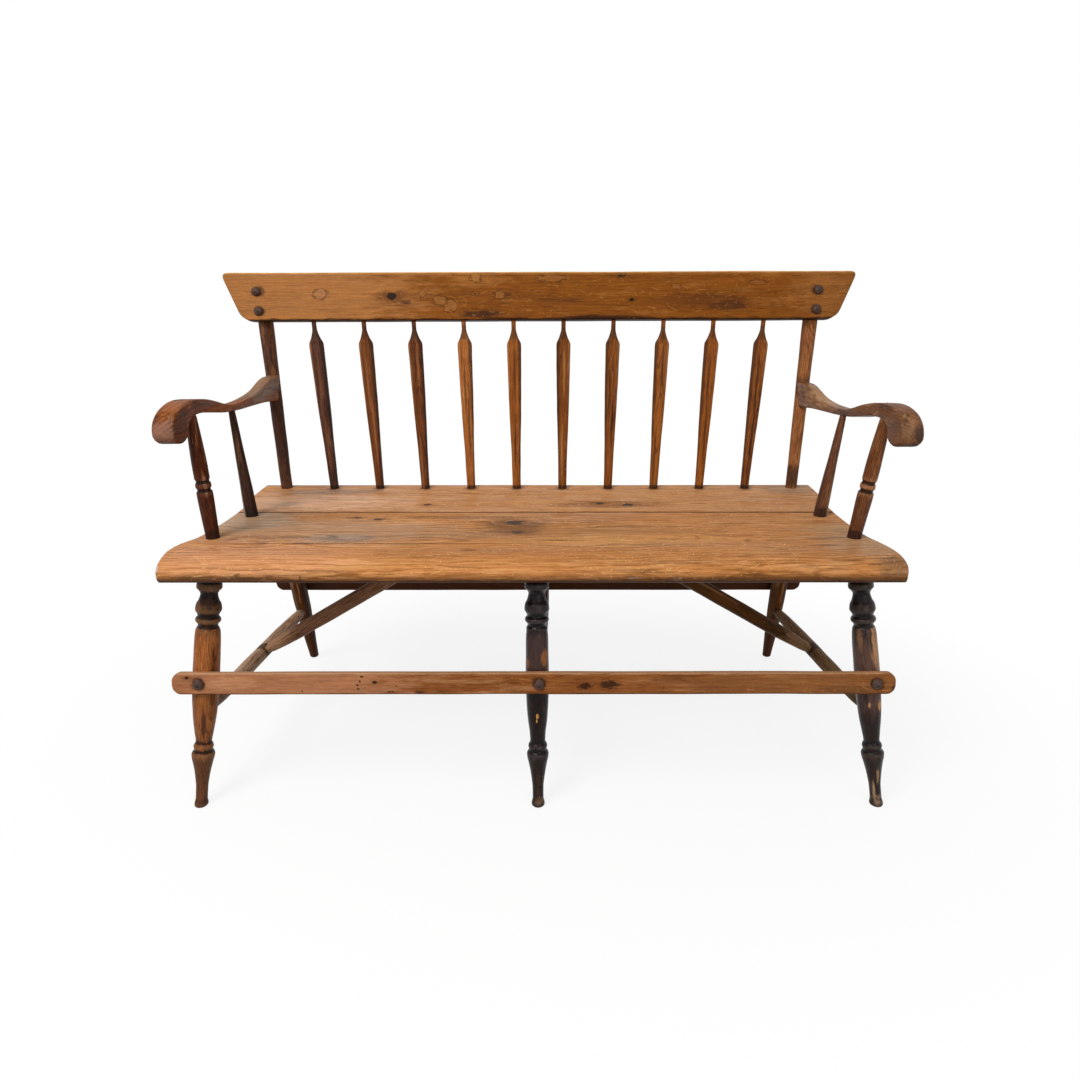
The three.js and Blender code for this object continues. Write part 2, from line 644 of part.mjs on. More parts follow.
function braceStick(name) {
  const side = sideSticks[name];
  const foot = side.front.clone().lerp(side.rear, BRACE_PLACE_SHARE);
  const head = new THREE.Vector3(ends[name].sign * BRACE_HEAD_X, foot.y, underside);
  const length = foot.distanceTo(head);
  const profile = [
    [-BRACE_FOOT_RADIUS / 2, BRACE_FOOT_RADIUS],
    [SIDE_RADIUS + 2 * FIT, BRACE_FOOT_RADIUS],
    ...braceShares.map(([along, out]) => [along * length, out * BRACE_RADIUS]),
    [length - BRACE_HEAD_RADIUS, BRACE_HEAD_RADIUS],
    [length + BRACE_SOCKET, BRACE_HEAD_RADIUS],
  ];
  return stick(foot, head, profile, STICK_SIDES);
}

const braceSticks = { left: braceStick('left'), right: braceStick('right') };

// Arms

// A place on an arm: share of the way back from the hand's front, share of the rise
function armPoint(end, back, rise) {
  const rear = postPoint(end, (ARM_UP + ARM_RISE / 2) / Math.cos(leanAngle));
  const drop = THREE.MathUtils.lerp(end.handDrop, end.rearDrop, back);
  return new THREE.Vector3(
    THREE.MathUtils.lerp(fromSeatEnd(end, end.hand), rear.x, back),
    THREE.MathUtils.lerp(ARM_HAND_FRONT, rear.y, back),
    armLow + ARM_RISE * rise - drop);
}

function armBlank(end) {
  const side = [...smooth(armTopShares, ARM_CURVE_STEPS), ...smooth(armUnderShares, ARM_CURVE_STEPS)];
  const sidePoints = side.map(([back, rise]) => armPoint(end, back, rise));
  const profile = shapeFrom(sidePoints.map((point) => [point.y, point.z]));
  const across = 2 * SEAT_HALF_LENGTH + RAIL_LENGTH;
  const sawnSide = new THREE.ExtrudeGeometry(profile, { depth: across, bevelEnabled: false });
  const sideways = new THREE.Matrix4().makeBasis(
    new THREE.Vector3(0, 1, 0), new THREE.Vector3(0, 0, 1), new THREE.Vector3(1, 0, 0));
  sawnSide.translate(0, 0, -across / 2).applyMatrix4(sideways);

  const half = ARM_HAND_WIDTH / 2;
  const edge = (sign) => armWidthShares.map(([back, width]) => {
    const point = armPoint(end, back, 0);
    return [point.x + sign * half * width, point.y];
  });
  const plan = shapeFrom([...edge(-1), ...edge(1).reverse()]);
  const height = ARM_RISE + 2 * OVERRUN;
  const sawnPlan = new THREE.ExtrudeGeometry(plan, { depth: height, bevelEnabled: false });
  sawnPlan.translate(0, 0, armLow - OVERRUN);
  return geometryFrom(solidFrom(sawnSide).intersect(solidFrom(sawnPlan)));
}

// All that lies behind the axes of the back posts, where the arms end
function behindPosts() {
  const low = new THREE.Vector3(-RAIL_LENGTH, -SEAT_HEIGHT, -SEAT_DEPTH);
  const high = new THREE.Vector3(RAIL_LENGTH, 2 * SEAT_HEIGHT, 0);
  const origin = new THREE.Vector3(0, postLine, SEAT_HEIGHT);
  return blank(boxBetween(low, high).geometry, leaningFrame(origin, leanAngle));
}

// The tenon at the rear of an arm, into the back post
function armTenon(end) {
  const middleRise = (armTopShares.at(-1)[1] + armUnderShares[0][1]) / 2;
  const axis = armPoint(end, 1, middleRise);
  const root = axis.clone().setY(axis.y - ARM_TENON_ROOT);
  const profile = [[0, ARM_TENON_RADIUS], [ARM_TENON_ROOT + ARM_TENON_PAST, ARM_TENON_RADIUS]];
  return stick(root, axis, profile, STICK_SIDES);
}

// A place on the seat near its end, and one under an arm, inside the arm's middle line
function seatPoint(end, inset, depthShare) {
  return new THREE.Vector3(fromSeatEnd(end, inset), SEAT_DEPTH * depthShare, SEAT_HEIGHT);
}

function underArm(end, inset, back, rise) {
  const place = armPoint(end, back, rise);
  return place.setX(place.x - end.sign * inset);
}

function armPostStick(end) {
  const foot = seatPoint(end, end.armPostFoot, ARM_POST_FOOT_SHARE);
  const head = underArm(end, end.armPostHead, ARM_POST_SHARE, 1);
  const length = foot.distanceTo(head) - FIT;
  const body = armPostShares.map(([up, out]) => [up * length, out * ARM_POST_RADIUS]);
  const profile = [
    [-SOCKET_DEPTH, ARM_POST_RADIUS * 0.93],
    [0, ARM_POST_RADIUS * 0.93],
    ...body,
    [length - ARM_POST_TENON, ARM_POST_RADIUS * 0.7],
    [length - ARM_POST_TENON * 0.85, ARM_POST_TENON_RADIUS],
    [length, ARM_POST_TENON_RADIUS],
  ];
  return stick(foot, head, profile, LEG_SIDES);
}

function armSpindleStick(end) {
  const foot = seatPoint(end, end.armSpindleFoot, ARM_SPINDLE_FOOT_SHARE);
  const head = underArm(end, end.armSpindleHead, ARM_SPINDLE_SHARE, ARM_UNDER_SPINDLE_SHARE);
  const length = foot.distanceTo(head);
  const profile = [
    [-SOCKET_DEPTH, ARM_SPINDLE_RADIUS],
    [0, ARM_SPINDLE_RADIUS],
    [length, ARM_SPINDLE_HEAD_RADIUS],
    [length + ARM_SPINDLE_TENON / 2, ARM_SPINDLE_TENON_RADIUS],
    [length + ARM_SPINDLE_TENON, ARM_SPINDLE_TENON_RADIUS],
  ];
  return stick(foot, head, profile, STICK_SIDES);
}

const armTenons = { left: armTenon(ends.left), right: armTenon(ends.right) };
const armPostSticks = { left: armPostStick(ends.left), right: armPostStick(ends.right) };
const armSpindleSticks = { left: armSpindleStick(ends.left), right: armSpindleStick(ends.right) };

// Seat: one plank shape with a rolled front edge, parted into two boards with dowels between

function seatEnd(shares) {
  const endEdge = smooth(shares.map(([back, waist]) => [
    SEAT_HALF_LENGTH - waist * SEAT_WAIST, back * SEAT_DEPTH]), SEAT_END_STEPS);
  const corner = new THREE.EllipseCurve(
    SEAT_HALF_LENGTH - SEAT_CORNER, SEAT_CORNER, SEAT_CORNER, SEAT_CORNER, 0, -Math.PI / 2, true);
  const rounded = corner.getPoints(CURVE_STEPS).map((point) => [point.x, point.y]);
  return [...endEdge.slice(0, -1), ...rounded];
}

function seatPlan() {
  const rightSide = seatEnd(seatEndShares.right);
  const leftSide = seatEnd(seatEndShares.left).map(([x, y]) => [-x, y]).reverse();
  return shapeFrom([...rightSide, ...leftSide].map(([x, y]) => [x + SEAT_SHIFT, y]));
}

function seatSideProfile() {
  const crown = SEAT_HEIGHT - SEAT_NOSE_DROP;
  const lowerDrop = SEAT_THICKNESS - SEAT_NOSE_DROP;
  const upper = new THREE.EllipseCurve(
    SEAT_NOSE_DEPTH, crown, SEAT_NOSE_DEPTH, SEAT_NOSE_DROP, Math.PI / 2, Math.PI);
  const lower = new THREE.EllipseCurve(
    SEAT_UNDERCUT, crown, SEAT_UNDERCUT, lowerDrop, Math.PI, 1.5 * Math.PI);
  const nose = [...upper.getPoints(NOSE_STEPS), ...lower.getPoints(CURVE_STEPS).slice(1)];
  const back = [[SEAT_DEPTH + OVERRUN, underside], [SEAT_DEPTH + OVERRUN, SEAT_HEIGHT]];
  return shapeFrom([...nose.map((point) => [point.x, point.y]), ...back]);
}

function seatGeometry() {
  const plan = new THREE.ExtrudeGeometry(seatPlan(), { depth: SEAT_THICKNESS, bevelEnabled: false });
  plan.translate(0, 0, underside);
  const length = 2 * (SEAT_HALF_LENGTH + OVERRUN);
  const side = new THREE.ExtrudeGeometry(seatSideProfile(), { depth: length, bevelEnabled: false });
  const sideways = new THREE.Matrix4().makeBasis(
    new THREE.Vector3(0, 1, 0), new THREE.Vector3(0, 0, 1), new THREE.Vector3(1, 0, 0));
  side.translate(0, 0, -length / 2).applyMatrix4(sideways);
  return geometryFrom(solidFrom(plan).intersect(solidFrom(side)));
}

// The half space before or behind the seam, as a cutter for the other board
function seamCutter(isFront) {
  const reach = 2 * SEAT_HALF_LENGTH;
  const seam = isFront ? seamLine - SEAM_GAP / 2 : seamLine + SEAM_GAP / 2;
  const [near, far] = isFront ? [seam, 2 * SEAT_DEPTH] : [-SEAT_DEPTH, seam];
  return boxBetween(new THREE.Vector3(-reach, near, 0), new THREE.Vector3(reach, far, 2 * SEAT_HEIGHT));
}

function seatDowelSticks() {
  return dowelShares.map((share) => {
    const middleHeight = SEAT_HEIGHT - SEAT_THICKNESS / 2;
    const middle = new THREE.Vector3(share * SEAT_HALF_LENGTH, seamLine, middleHeight);
    const behind = middle.clone().setY(SEAT_DEPTH);
    const half = SEAT_DOWEL_LENGTH / 2;
    const profile = [[-half, SEAT_DOWEL_RADIUS], [half, SEAT_DOWEL_RADIUS]];
    return stick(middle, behind, profile, PEG_SIDES);
  });
}

const seatDowels = seatDowelSticks();
const sockets = (sticks) => Object.values(sticks).map((made) => made.socket);

const seatBlank = blank(seatGeometry(), new THREE.Matrix4());
const seatSockets = [
  ...sockets(postSticks), ...sockets(spindleSticks), ...sockets(frontLegSticks),
  ...sockets(rearLegSticks), ...sockets(braceSticks), ...sockets(armPostSticks),
  ...sockets(armSpindleSticks), ...sockets(seatDowels),
];

// The bench

// Several like pieces, numbered from one
function numbered(name, material, sticks) {
  return sticks.map((made, place) => piece(`${name}_${place + 1}`, material(), made.body));
}

function makeSeat() {
  return [
    piece('seat_board_front', seatPine(), seatBlank, { cutters: [seamCutter(true), ...seatSockets] }),
    piece('seat_board_rear', seatPine(), seatBlank, { cutters: [seamCutter(false), ...seatSockets] }),
    ...numbered('seat_dowel', goldenWood, seatDowels),
  ];
}

function makeBack() {
  const railCutters = [...sockets(spindleSticks), ...sockets(crestPegs)];
  const made = [
    piece('crest_rail', railPine(), railSlab(), { cutters: railCutters }),
    ...numbered('crest_peg', pegWood, crestPegs),
  ];
  for (const name of Object.keys(ends)) {
    const material = name === 'left' ? darkWood() : goldenWood();
    const cutters = [railSeat(), ...sockets(crestPegs), armTenons[name].socket];
    made.push(piece(`back_post_${name}`, material, postSticks[name].body, { cutters }));
  }
  spindleSticks.forEach((spindle, number) => {
    const material = number < 3 ? darkWood() : goldenWood();
    made.push(piece(`arrow_spindle_${String(number + 1).padStart(2, '0')}`, material, spindle.body));
  });
  return made;
}

function makeArms() {
  const made = [];
  for (const name of Object.keys(ends)) {
    const post = armPostSticks[name];
    const spindle = armSpindleSticks[name];
    const body = blank(armBlank(ends[name]), new THREE.Matrix4());
    const cutters = [postSticks[name].socket, behindPosts(), post.socket, spindle.socket];
    const joints = { cutters, tenons: [armTenons[name].body] };
    made.push(
      piece(`arm_${name}`, armWood(), body, joints),
      piece(`arm_post_${name}`, redWood(), post.body),
      piece(`arm_spindle_${name}`, name === 'left' ? darkWood() : redWood(), spindle.body));
  }
  return made;
}

function makeLegs() {
  const legCutters = [floorCutter, ...sockets(sideSticks)];
  const made = [];
  for (const name of legNames) {
    const frontCutters = [...legCutters, boardSlab(true, FIT), ...sockets(frontPegs)];
    const rearCutters = [...legCutters, boardSlab(false, FIT), ...sockets(rearPegs)];
    const material = name === 'left' ? armWood() : darkWood();
    made.push(
      piece(`front_leg_${name}`, material, frontLegSticks[name].body, { cutters: frontCutters }),
      piece(`rear_leg_${name}`, goldenWood(), rearLegSticks[name].body, { cutters: rearCutters }));
  }
  return made;
}

function makeStretchers() {
  const made = [
    piece('front_stretcher', boardPine(), boardSlab(true), { cutters: sockets(frontPegs) }),
    piece('rear_stretcher', boardPine(), boardSlab(false), { cutters: sockets(rearPegs) }),
    ...numbered('front_stretcher_peg', pegWood, frontPegs),
    ...numbered('rear_stretcher_peg', pegWood, rearPegs),
  ];
  for (const name of legNames) {
    const cutters = sockets(braceSticks);
    made.push(piece(`side_stretcher_${name}`, greyWood(), sideSticks[name].body, { cutters }));
  }
  for (const name of Object.keys(ends)) {
    made.push(piece(`seat_brace_${name}`, greyWood(), braceSticks[name].body));
  }
  return made;
}

const bench = new THREE.Group();
bench.add(...makeSeat(), ...makeBack(), ...makeArms(), ...makeLegs(), ...makeStretchers());

const footprint = new THREE.Box3().setFromObject(bench).getCenter(new THREE.Vector3());
bench.position.set(-footprint.x, -footprint.y, 0);

export default bench;
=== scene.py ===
# Looks of an old country-made deacon's bench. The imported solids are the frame, and every piece
# here stands for one of them, in the same place, with a finer shape and its own wood.
# Lengths are millimetres until a mesh is made. X is right, Y goes back from the seat's front
# edge, and Z is up. Each piece has its own frame, whose X axis runs along the grain.

import math

import bmesh
import bpy
import numpy as np
from mathutils import Matrix, Vector, noise


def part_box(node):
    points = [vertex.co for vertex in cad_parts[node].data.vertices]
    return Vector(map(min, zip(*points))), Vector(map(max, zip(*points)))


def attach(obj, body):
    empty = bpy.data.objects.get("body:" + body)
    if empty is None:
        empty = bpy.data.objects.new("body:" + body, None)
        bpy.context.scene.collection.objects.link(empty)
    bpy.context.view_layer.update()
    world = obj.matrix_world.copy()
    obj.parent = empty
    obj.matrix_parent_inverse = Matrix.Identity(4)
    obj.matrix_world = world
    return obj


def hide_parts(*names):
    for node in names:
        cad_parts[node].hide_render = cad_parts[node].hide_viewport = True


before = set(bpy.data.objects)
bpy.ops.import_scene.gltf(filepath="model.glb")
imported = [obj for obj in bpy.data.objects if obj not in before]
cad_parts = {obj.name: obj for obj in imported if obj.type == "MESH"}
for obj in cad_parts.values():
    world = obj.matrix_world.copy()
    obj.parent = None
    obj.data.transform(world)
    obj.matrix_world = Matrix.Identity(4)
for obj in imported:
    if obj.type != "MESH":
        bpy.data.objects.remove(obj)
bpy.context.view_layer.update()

MM = 0.001

# Seat
SEAT_HEIGHT = 432
SEAT_THICKNESS = 34
SEAT_DEPTH = 461
SEAT_HALF_LENGTH = 551
SEAT_SHIFT = -3
SEAT_WAIST = 22
SEAT_CORNER = 2
NOSE_DEPTH = 50
NOSE_DROP = 17
UNDERCUT = 12
SEAM = 266
SEAM_GAP = 0.8
SOCKET = 25

# Back and rail
BACK_LEAN = math.radians(13.2)
POST_LINE = SEAT_DEPTH - 20
POST_FOOT_RADIUS = 11.6
POST_HEAD_RADIUS = 15
RAIL_UP = 322.5
RAIL_WIDTH = 92
RAIL_LENGTH = 1224
RAIL_BACK_FACE = 12
RAIL_FRONT_FACE = 33
RAIL_SLANT = 41
RAIL_LOWER_CORNER = 21
RAIL_UPPER_CORNER = 17
RAIL_SHIFT = 3
RAIL_TILT = math.radians(0.2)
POST_TOP = RAIL_UP + 0.86 * RAIL_WIDTH

# Legs and stretchers
UNDERSIDE = SEAT_HEIGHT - SEAT_THICKNESS
TURNING_RADIUS = 19.2
REAR_LEG_RADIUS = 17
FRONT_LEGS = {"left": (-509, -551, 20.5), "middle": (2, 3.4, 18.8), "right": (508.5, 560.5, 19.8)}
REAR_LEGS = {"left": (-496, -518.5), "middle": (3.5, 4.5), "right": (492, 521)}
FRONT_TOP_Y, FRONT_FOOT_Y = 82, 27
REAR_TOP_Y, REAR_FOOT_Y = SEAT_DEPTH - 76, SEAT_DEPTH + 104
FRONT_BOARD = {"level": 217, "half": 569, "near": 17.3}
REAR_BOARD = {"level": 200, "half": 557.5, "near": -25}
BOARD_HEIGHT = 36
BOARD_THICKNESS = 11
BOARD_CORNER = 15
BOARD_SHIFT = -2
SIDE_FRONT_LEVEL = 161
SIDE_REAR_LEVEL = 143.5
SIDE_RADIUS = 13.5
BRACE_RADIUS = 13.9
BRACE_SHARE = 0.508
BRACE_HEAD_X = 110
LEG_TENON = 13

# Pegs
PEG_ASIDE = 3.5
PEG_RADIUS = 9.6
PEG_DOME = 7
PEG_SHANK = 28
PEG_SHANK_RADIUS = 5

# Spindles of the back: where their middle lies, and how far apart the outermost are
SPINDLES = 10
SPINDLE_FEET = (2.3, 812.7)
SPINDLE_HEADS = (1.1, 870.3)
SPINDLE_LINE = SEAT_DEPTH - 24
SPINDLE_FORWARD = 22.5
SPINDLE_FOOT_RADIUS = 8.3
SPINDLE_TENON = 18
BLADE_WIDTH = 28
BLADE_THICKNESS = 11
NECK_RADIUS = 4.5

# Arms: distances from the middle, and drops below the left arm's level
ARM_LOW = 596
ARM_RISE = 58
ARM_FRONT = 40
ARM_WIDTH = 36
ENDS = {
    "left": {"sign": -1, "post": (500, 534), "hand": 533.5, "drop": (0, 0),
             "arm_post": (517, 8.5), "arm_spindle": (499.5, 7.7)},
    "right": {"sign": 1, "post": (503, 533), "hand": 546.5, "drop": (4, 13),
              "arm_post": (511, 5.5), "arm_spindle": (496.5, 9.5)},
}

# Posts and spindles of the arms: shares of the seat's depth, of the arm's length and of its rise
FIT = 0.3
ARM_POST_RADIUS = 11.8
ARM_POST_TENON = 11
ARM_POST_FOOT = 0.2657
ARM_POST_HEAD = 0.16
ARM_SPINDLE_RADIUS = 11.6
ARM_SPINDLE_FOOT = 0.5336
ARM_SPINDLE_HEAD = 0.498
ARM_SPINDLE_RISE = 0.29

# Outlines: share of the way, share of the size across
SEAT_END = {
    "left": [(0.03, -0.09), (0.08, -0.2), (0.13, -0.32), (0.163, -0.28), (0.195, -0.15), (0.228, 0.12),
             (0.26, 0.42), (0.3, 0.62), (0.37, 0.8), (0.475, 0.95), (0.56, 0.98), (0.636, 0.91), (0.7, 0.75),
             (0.78, 0.52), (0.865, 0.39), (1, 0.33)],
    "right": [(0.03, -0.13), (0.08, -0.15), (0.13, -0.13), (0.163, -0.05), (0.195, 0.1), (0.228, 0.28),
              (0.26, 0.48), (0.3, 0.65), (0.37, 0.79), (0.475, 0.88), (0.56, 0.88), (0.636, 0.82),
              (0.7, 0.68), (0.78, 0.46), (0.865, 0.26), (1, 0.18)],
}
ANKLE = [(-0.05, 0.52), (0, 0.55), (0.008, 0.57), (0.035, 0.48), (0.085, 0.49), (0.115, 0.55),
         (0.155, 0.665), (0.19, 0.81), (0.213, 0.915), (0.226, 0.94), (0.236, 0.86), (0.242, 0.76),
         (0.25, 0.77), (0.258, 0.815), (0.266, 0.78), (0.278, 0.65)]
SHAFT = [(0.315, 0.7), (0.37, 0.84), (0.42, 0.925), (0.47, 0.97), (0.58, 1), (0.66, 0.98),
         (0.72, 0.95), (0.742, 0.915)]
VASE = [(0.753, 0.9), (0.764, 0.78), (0.773, 0.84), (0.78, 0.97), (0.787, 1.01), (0.795, 0.95),
        (0.803, 0.82), (0.812, 0.88), (0.828, 1.04), (0.848, 0.99), (0.868, 0.8), (0.892, 0.69),
        (0.905, 0.81), (0.917, 1.01), (0.93, 1), (0.945, 0.84), (0.965, 0.71)]
REAR_LEG = [(-0.06, 0.54), (0, 0.57), (0.05, 0.62), (0.14, 0.73), (0.25, 0.86), (0.36, 0.95),
            (0.46, 1), (0.66, 1), (0.86, 0.9), (0.96, 0.79)]
SIDE = [(0.05, 0.7), (0.13, 0.88), (0.35, 1), (0.6, 0.99), (0.85, 0.87), (0.955, 0.7)]
BRACE = [(0.038, 0.66), (0.065, 0.77), (0.18, 0.96), (0.5, 1), (0.86, 1)]
ARM_POST = [(0.18, 1), (0.31, 1.05), (0.345, 1.04), (0.36, 0.86), (0.372, 0.86), (0.382, 1),
            (0.398, 1.03), (0.41, 0.99), (0.42, 0.86), (0.432, 0.86), (0.446, 0.99), (0.52, 0.99),
            (0.68, 0.91), (0.82, 0.78)]
BLADE = [(0.13, 0.62), (0.26, 0.665), (0.4, 0.755), (0.54, 0.84), (0.69, 0.905), (0.83, 0.95),
         (0.93, 0.98), (0.985, 1), (1, 0.99)]
SHOULDER = 0.862
NECK = 0.955
ARM_OUTLINE = [
    (1, 0.9), (0.93, 0.893), (0.888, 0.845), (0.84, 0.74), (0.798, 0.64), (0.74, 0.555),
    (0.65, 0.49), (0.56, 0.475), (0.484, 0.51), (0.417, 0.615), (0.34, 0.775), (0.265, 0.905),
    (0.19, 0.985), (0.135, 1), (0.085, 0.94), (0.045, 0.83), (0.016, 0.655), (0.002, 0.45),
    (0, 0.24), (0.013, 0.1), (0.036, 0.017), (0.063, 0.01), (0.087, 0.08), (0.103, 0.207),
    (0.108, 0.36), (0.123, 0.5), (0.157, 0.575), (0.213, 0.585), (0.289, 0.51), (0.419, 0.345),
    (0.554, 0.255), (0.675, 0.215), (0.823, 0.165), (0.942, 0.08), (1, 0.05)]
ARM_TAPER = [(0, 1), (0.22, 1), (0.45, 0.82), (0.7, 0.69), (1, 0.66)]

# Camera, in pixels of the photo and in millimetres
PHOTO_PIXELS = 1080
FOCAL_PIXELS = 788.2
LENS_MIDDLE = (551.5, 520.7)
CAMERA_DOWN = math.radians(17.0)
CAMERA_TURN = math.radians(-0.1)
CAMERA_PLACE = (23.4, -1078.6, 827.1)
SENSOR = 36

# Floor: half its side in metres, and how far it lies below the feet
FLOOR_REACH = 8
FLOOR_DROP = 0.5

# Knots: how deep they reach, and the radius from which their rims are soft
ENDLESS = 1e6
SOFT_KNOT = 10

# Where the build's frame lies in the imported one, read from the front seat board
low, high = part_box("seat_board_front")
ORIGIN = Vector(((low.x + high.x) / 2 / MM - SEAT_SHIFT, low.y / MM, 0))


# Frames and curves

def frame_at(origin, x_axis, y_axis):
    x = Vector(x_axis).normalized()
    z = x.cross(Vector(y_axis)).normalized()
    made = Matrix((x, z.cross(x), z)).transposed().to_4x4()
    made.translation = (Vector(origin) + ORIGIN) * MM
    return made


def back_point(x, up, forward=0.0):
    sine, cosine = math.sin(BACK_LEAN), math.cos(BACK_LEAN)
    return Vector((x, POST_LINE + up * sine - forward * cosine,
                   SEAT_HEIGHT + up * cosine + forward * sine))


def spindle_x(line, index):
    return line[0] + line[1] * (index / (SPINDLES - 1) - 0.5)


def through(pairs, places):
    """A smooth curve without overshoot through (place, value) pairs."""
    x, y = np.array(pairs, float).T
    step = np.diff(x)
    slope = np.diff(y) / step
    tangent = np.zeros_like(y)
    tangent[0], tangent[-1] = slope[0], slope[-1]
    for i in range(1, len(x) - 1):
        if slope[i - 1] * slope[i] > 0:
            tangent[i] = 2 * slope[i - 1] * slope[i] / (slope[i - 1] + slope[i])
    i = np.clip(np.searchsorted(x, places, "right") - 1, 0, len(step) - 1)
    t = np.clip((places - x[i]) / step[i], 0, 1)
    h = step[i]
    return ((1 + 2 * t) * (1 - t) ** 2 * y[i] + t * (1 - t) ** 2 * h * tangent[i]
            + t * t * (3 - 2 * t) * y[i + 1] + t * t * (t - 1) * h * tangent[i + 1])


def rounded_line(points, count):
    """Points at even steps along a smooth curve through a list of 2D points."""
    p = np.array(points, float)
    p = np.vstack([2 * p[0] - p[1], p, 2 * p[-1] - p[-2]])
    dense = []
    for a, b, c, d in zip(p, p[1:], p[2:], p[3:]):
        for t in np.linspace(0, 1, 12, endpoint=False):
            dense.append(0.5 * (2 * b + (c - a) * t + (2 * a - 5 * b + 4 * c - d) * t ** 2
                                + (3 * b - a - 3 * c + d) * t ** 3))
    dense.append(p[-2])
    dense = np.array(dense)
    run = np.concatenate([[0], np.cumsum(np.linalg.norm(np.diff(dense, axis=0), axis=1))])
    even = np.linspace(0, run[-1], count)
    return np.column_stack([np.interp(even, run, dense[:, 0]), np.interp(even, run, dense[:, 1])])


# Meshes

def skin(loops, cap):
    """Faces over a row of equal loops, closed at both ends by a fan or by strips."""
    count, size = len(loops), len(loops[0])
    vertices = [tuple(p) for loop in loops for p in loop]
    faces = []
    for i in range(count - 1):
        for j in range(size):
            k = (j + 1) % size
            faces.append((i * size + j, i * size + k, (i + 1) * size + k, (i + 1) * size + j))
    for start in (0, (count - 1) * size):
        if cap == "fan":
            middle = np.mean(loops[start // size], axis=0)
            vertices.append(tuple(middle))
            faces += [(start + j, start + (j + 1) % size, len(vertices) - 1) for j in range(size)]
        else:
            faces += [(start + j, start + j + 1, start + size - 2 - j, start + size - 1 - j)
                      for j in range(size // 2 - 1)]
    return vertices, faces


def level_foot(mesh, worn):
    """Cuts a leg off at the floor and rounds its lowest edge."""
    shape = bmesh.new()
    shape.from_mesh(mesh)
    for level in (0, 0.08 * worn, 0.3 * worn, 0.65 * worn, worn):
        bmesh.ops.bisect_plane(shape, geom=shape.verts[:] + shape.edges[:] + shape.faces[:],
                               plane_co=(0, 0, level * MM), plane_no=(0, 0, 1), clear_inner=level == 0)
    rim = [v for v in shape.verts if v.co.z < 1e-5]
    middle = sum((v.co for v in rim), Vector()) / len(rim)
    for v in shape.verts:
        share = v.co.z / MM / worn
        if share < 1:
            inward = Vector((middle.x - v.co.x, middle.y - v.co.y, 0))
            drawn = worn * (1 - math.sqrt(max(0, 1 - (1 - share) ** 2))) * MM
            v.co += inward.normalized() * min(drawn, inward.length)
    bmesh.ops.holes_fill(shape, edges=[e for e in shape.edges if e.is_boundary])
    bmesh.ops.recalc_face_normals(shape, faces=shape.faces)
    shape.to_mesh(mesh)
    shape.free()


def show(name, data):
    """Puts an object with this data into the scene."""
    made = bpy.data.objects.new(name, data)
    bpy.context.scene.collection.objects.link(made)
    return made


def keep(mesh, name, kind, field, values):
    """Keeps a value for each point of a mesh, which the woods read by its name."""
    values = np.asarray(values, np.float32)
    mesh.attributes.new(name, kind, "POINT").data.foreach_set(field, values)


def make_piece(name, body, place, wood, node, relief=None, lumps=(0, 1), sharp=38, worn=0):
    """A mesh object from (vertices, faces) in its own frame, standing for one solid."""
    vertices, faces = body
    mesh = bpy.data.meshes.new(name)
    mesh.from_pydata([Vector(v) * MM for v in vertices], [], faces)
    if relief is not None:
        keep(mesh, "relief", "FLOAT", "value", relief)
    shape = bmesh.new()
    shape.from_mesh(mesh)
    bmesh.ops.remove_doubles(shape, verts=shape.verts, dist=1e-5)
    bmesh.ops.recalc_face_normals(shape, faces=shape.faces)
    deep, wide = lumps
    if deep:
        shape.normal_update()
        offset = Vector((sum(map(ord, name)) * 7.7, 0, 0))
        for v in shape.verts:
            at = v.co / MM
            soft = noise.noise(Vector((at.x / (2.5 * wide), at.y / wide, at.z / wide)) + offset)
            v.co -= v.normal * deep * MM * (0.5 + 0.5 * max(-1, min(1, 1.6 * soft)))
    shape.to_mesh(mesh)
    shape.free()

    # The wood's pattern lies in the piece's own frame, in millimetres
    local = np.empty(3 * len(mesh.vertices), np.float32)
    mesh.vertices.foreach_get("co", local)
    keep(mesh, "grain", "FLOAT_VECTOR", "vector", local / MM)
    mesh.transform(place)
    if worn:
        level_foot(mesh, worn)
    mesh.shade_smooth()
    mesh.set_sharp_from_angle(angle=math.radians(sharp))
    mesh.materials.append(wood)
    made = show(name, mesh)
    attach(made, "root")
    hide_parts(node)


def board_edge(bottom, top, near, far, round_bottom, round_top, step):
    """Rows across a board: place across it, near face and far face, with rounded edges."""
    quarter = np.linspace(0, math.pi / 2, 7)
    rows = [(bottom + round_bottom * (1 - math.cos(a)), round_bottom * (1 - math.sin(a))) for a in quarter]
    rows += [(v, 0) for v in np.arange(bottom + round_bottom, top - round_top, step)[1:]]
    rows += [(top - round_top * (1 - math.cos(a)), round_top * (1 - math.sin(a))) for a in quarter[::-1]]
    return [(v, near + inset, far - inset) for v, inset in rows]


def plank(rows, left_end, right_end, end_round, spacing=18):
    """A board along X from rows (y, lower z, upper z), with its ends as functions of y."""
    length = right_end(rows[len(rows) // 2][0]) - left_end(rows[len(rows) // 2][0])
    angles = np.linspace(0, math.pi / 2, 5)
    start = [(0, end_round * (1 - math.cos(a)), end_round * (1 - math.sin(a))) for a in angles]
    inner = [(s, 0, 0) for s in np.linspace(0, 1, int(length / spacing))[1:-1]]
    finish = [(1, -out, inset) for _, out, inset in reversed(start)]
    loops = []
    for share, out, inset in start + inner + finish:
        upper, lower = [], []
        for y, z0, z1 in rows:
            x0, x1 = left_end(y) + end_round, right_end(y) - end_round
            if share == 0:
                x = left_end(y) + out
            elif share == 1:
                x = right_end(y) + out
            else:
                x = x0 + (x1 - x0) * share
            cut = min(inset, 0.45 * (z1 - z0))
            upper.append((x, y, z1 - cut))
            lower.append((x, y, z0 + cut))
        loops.append(upper + lower[::-1])
    return skin(loops, "strip")


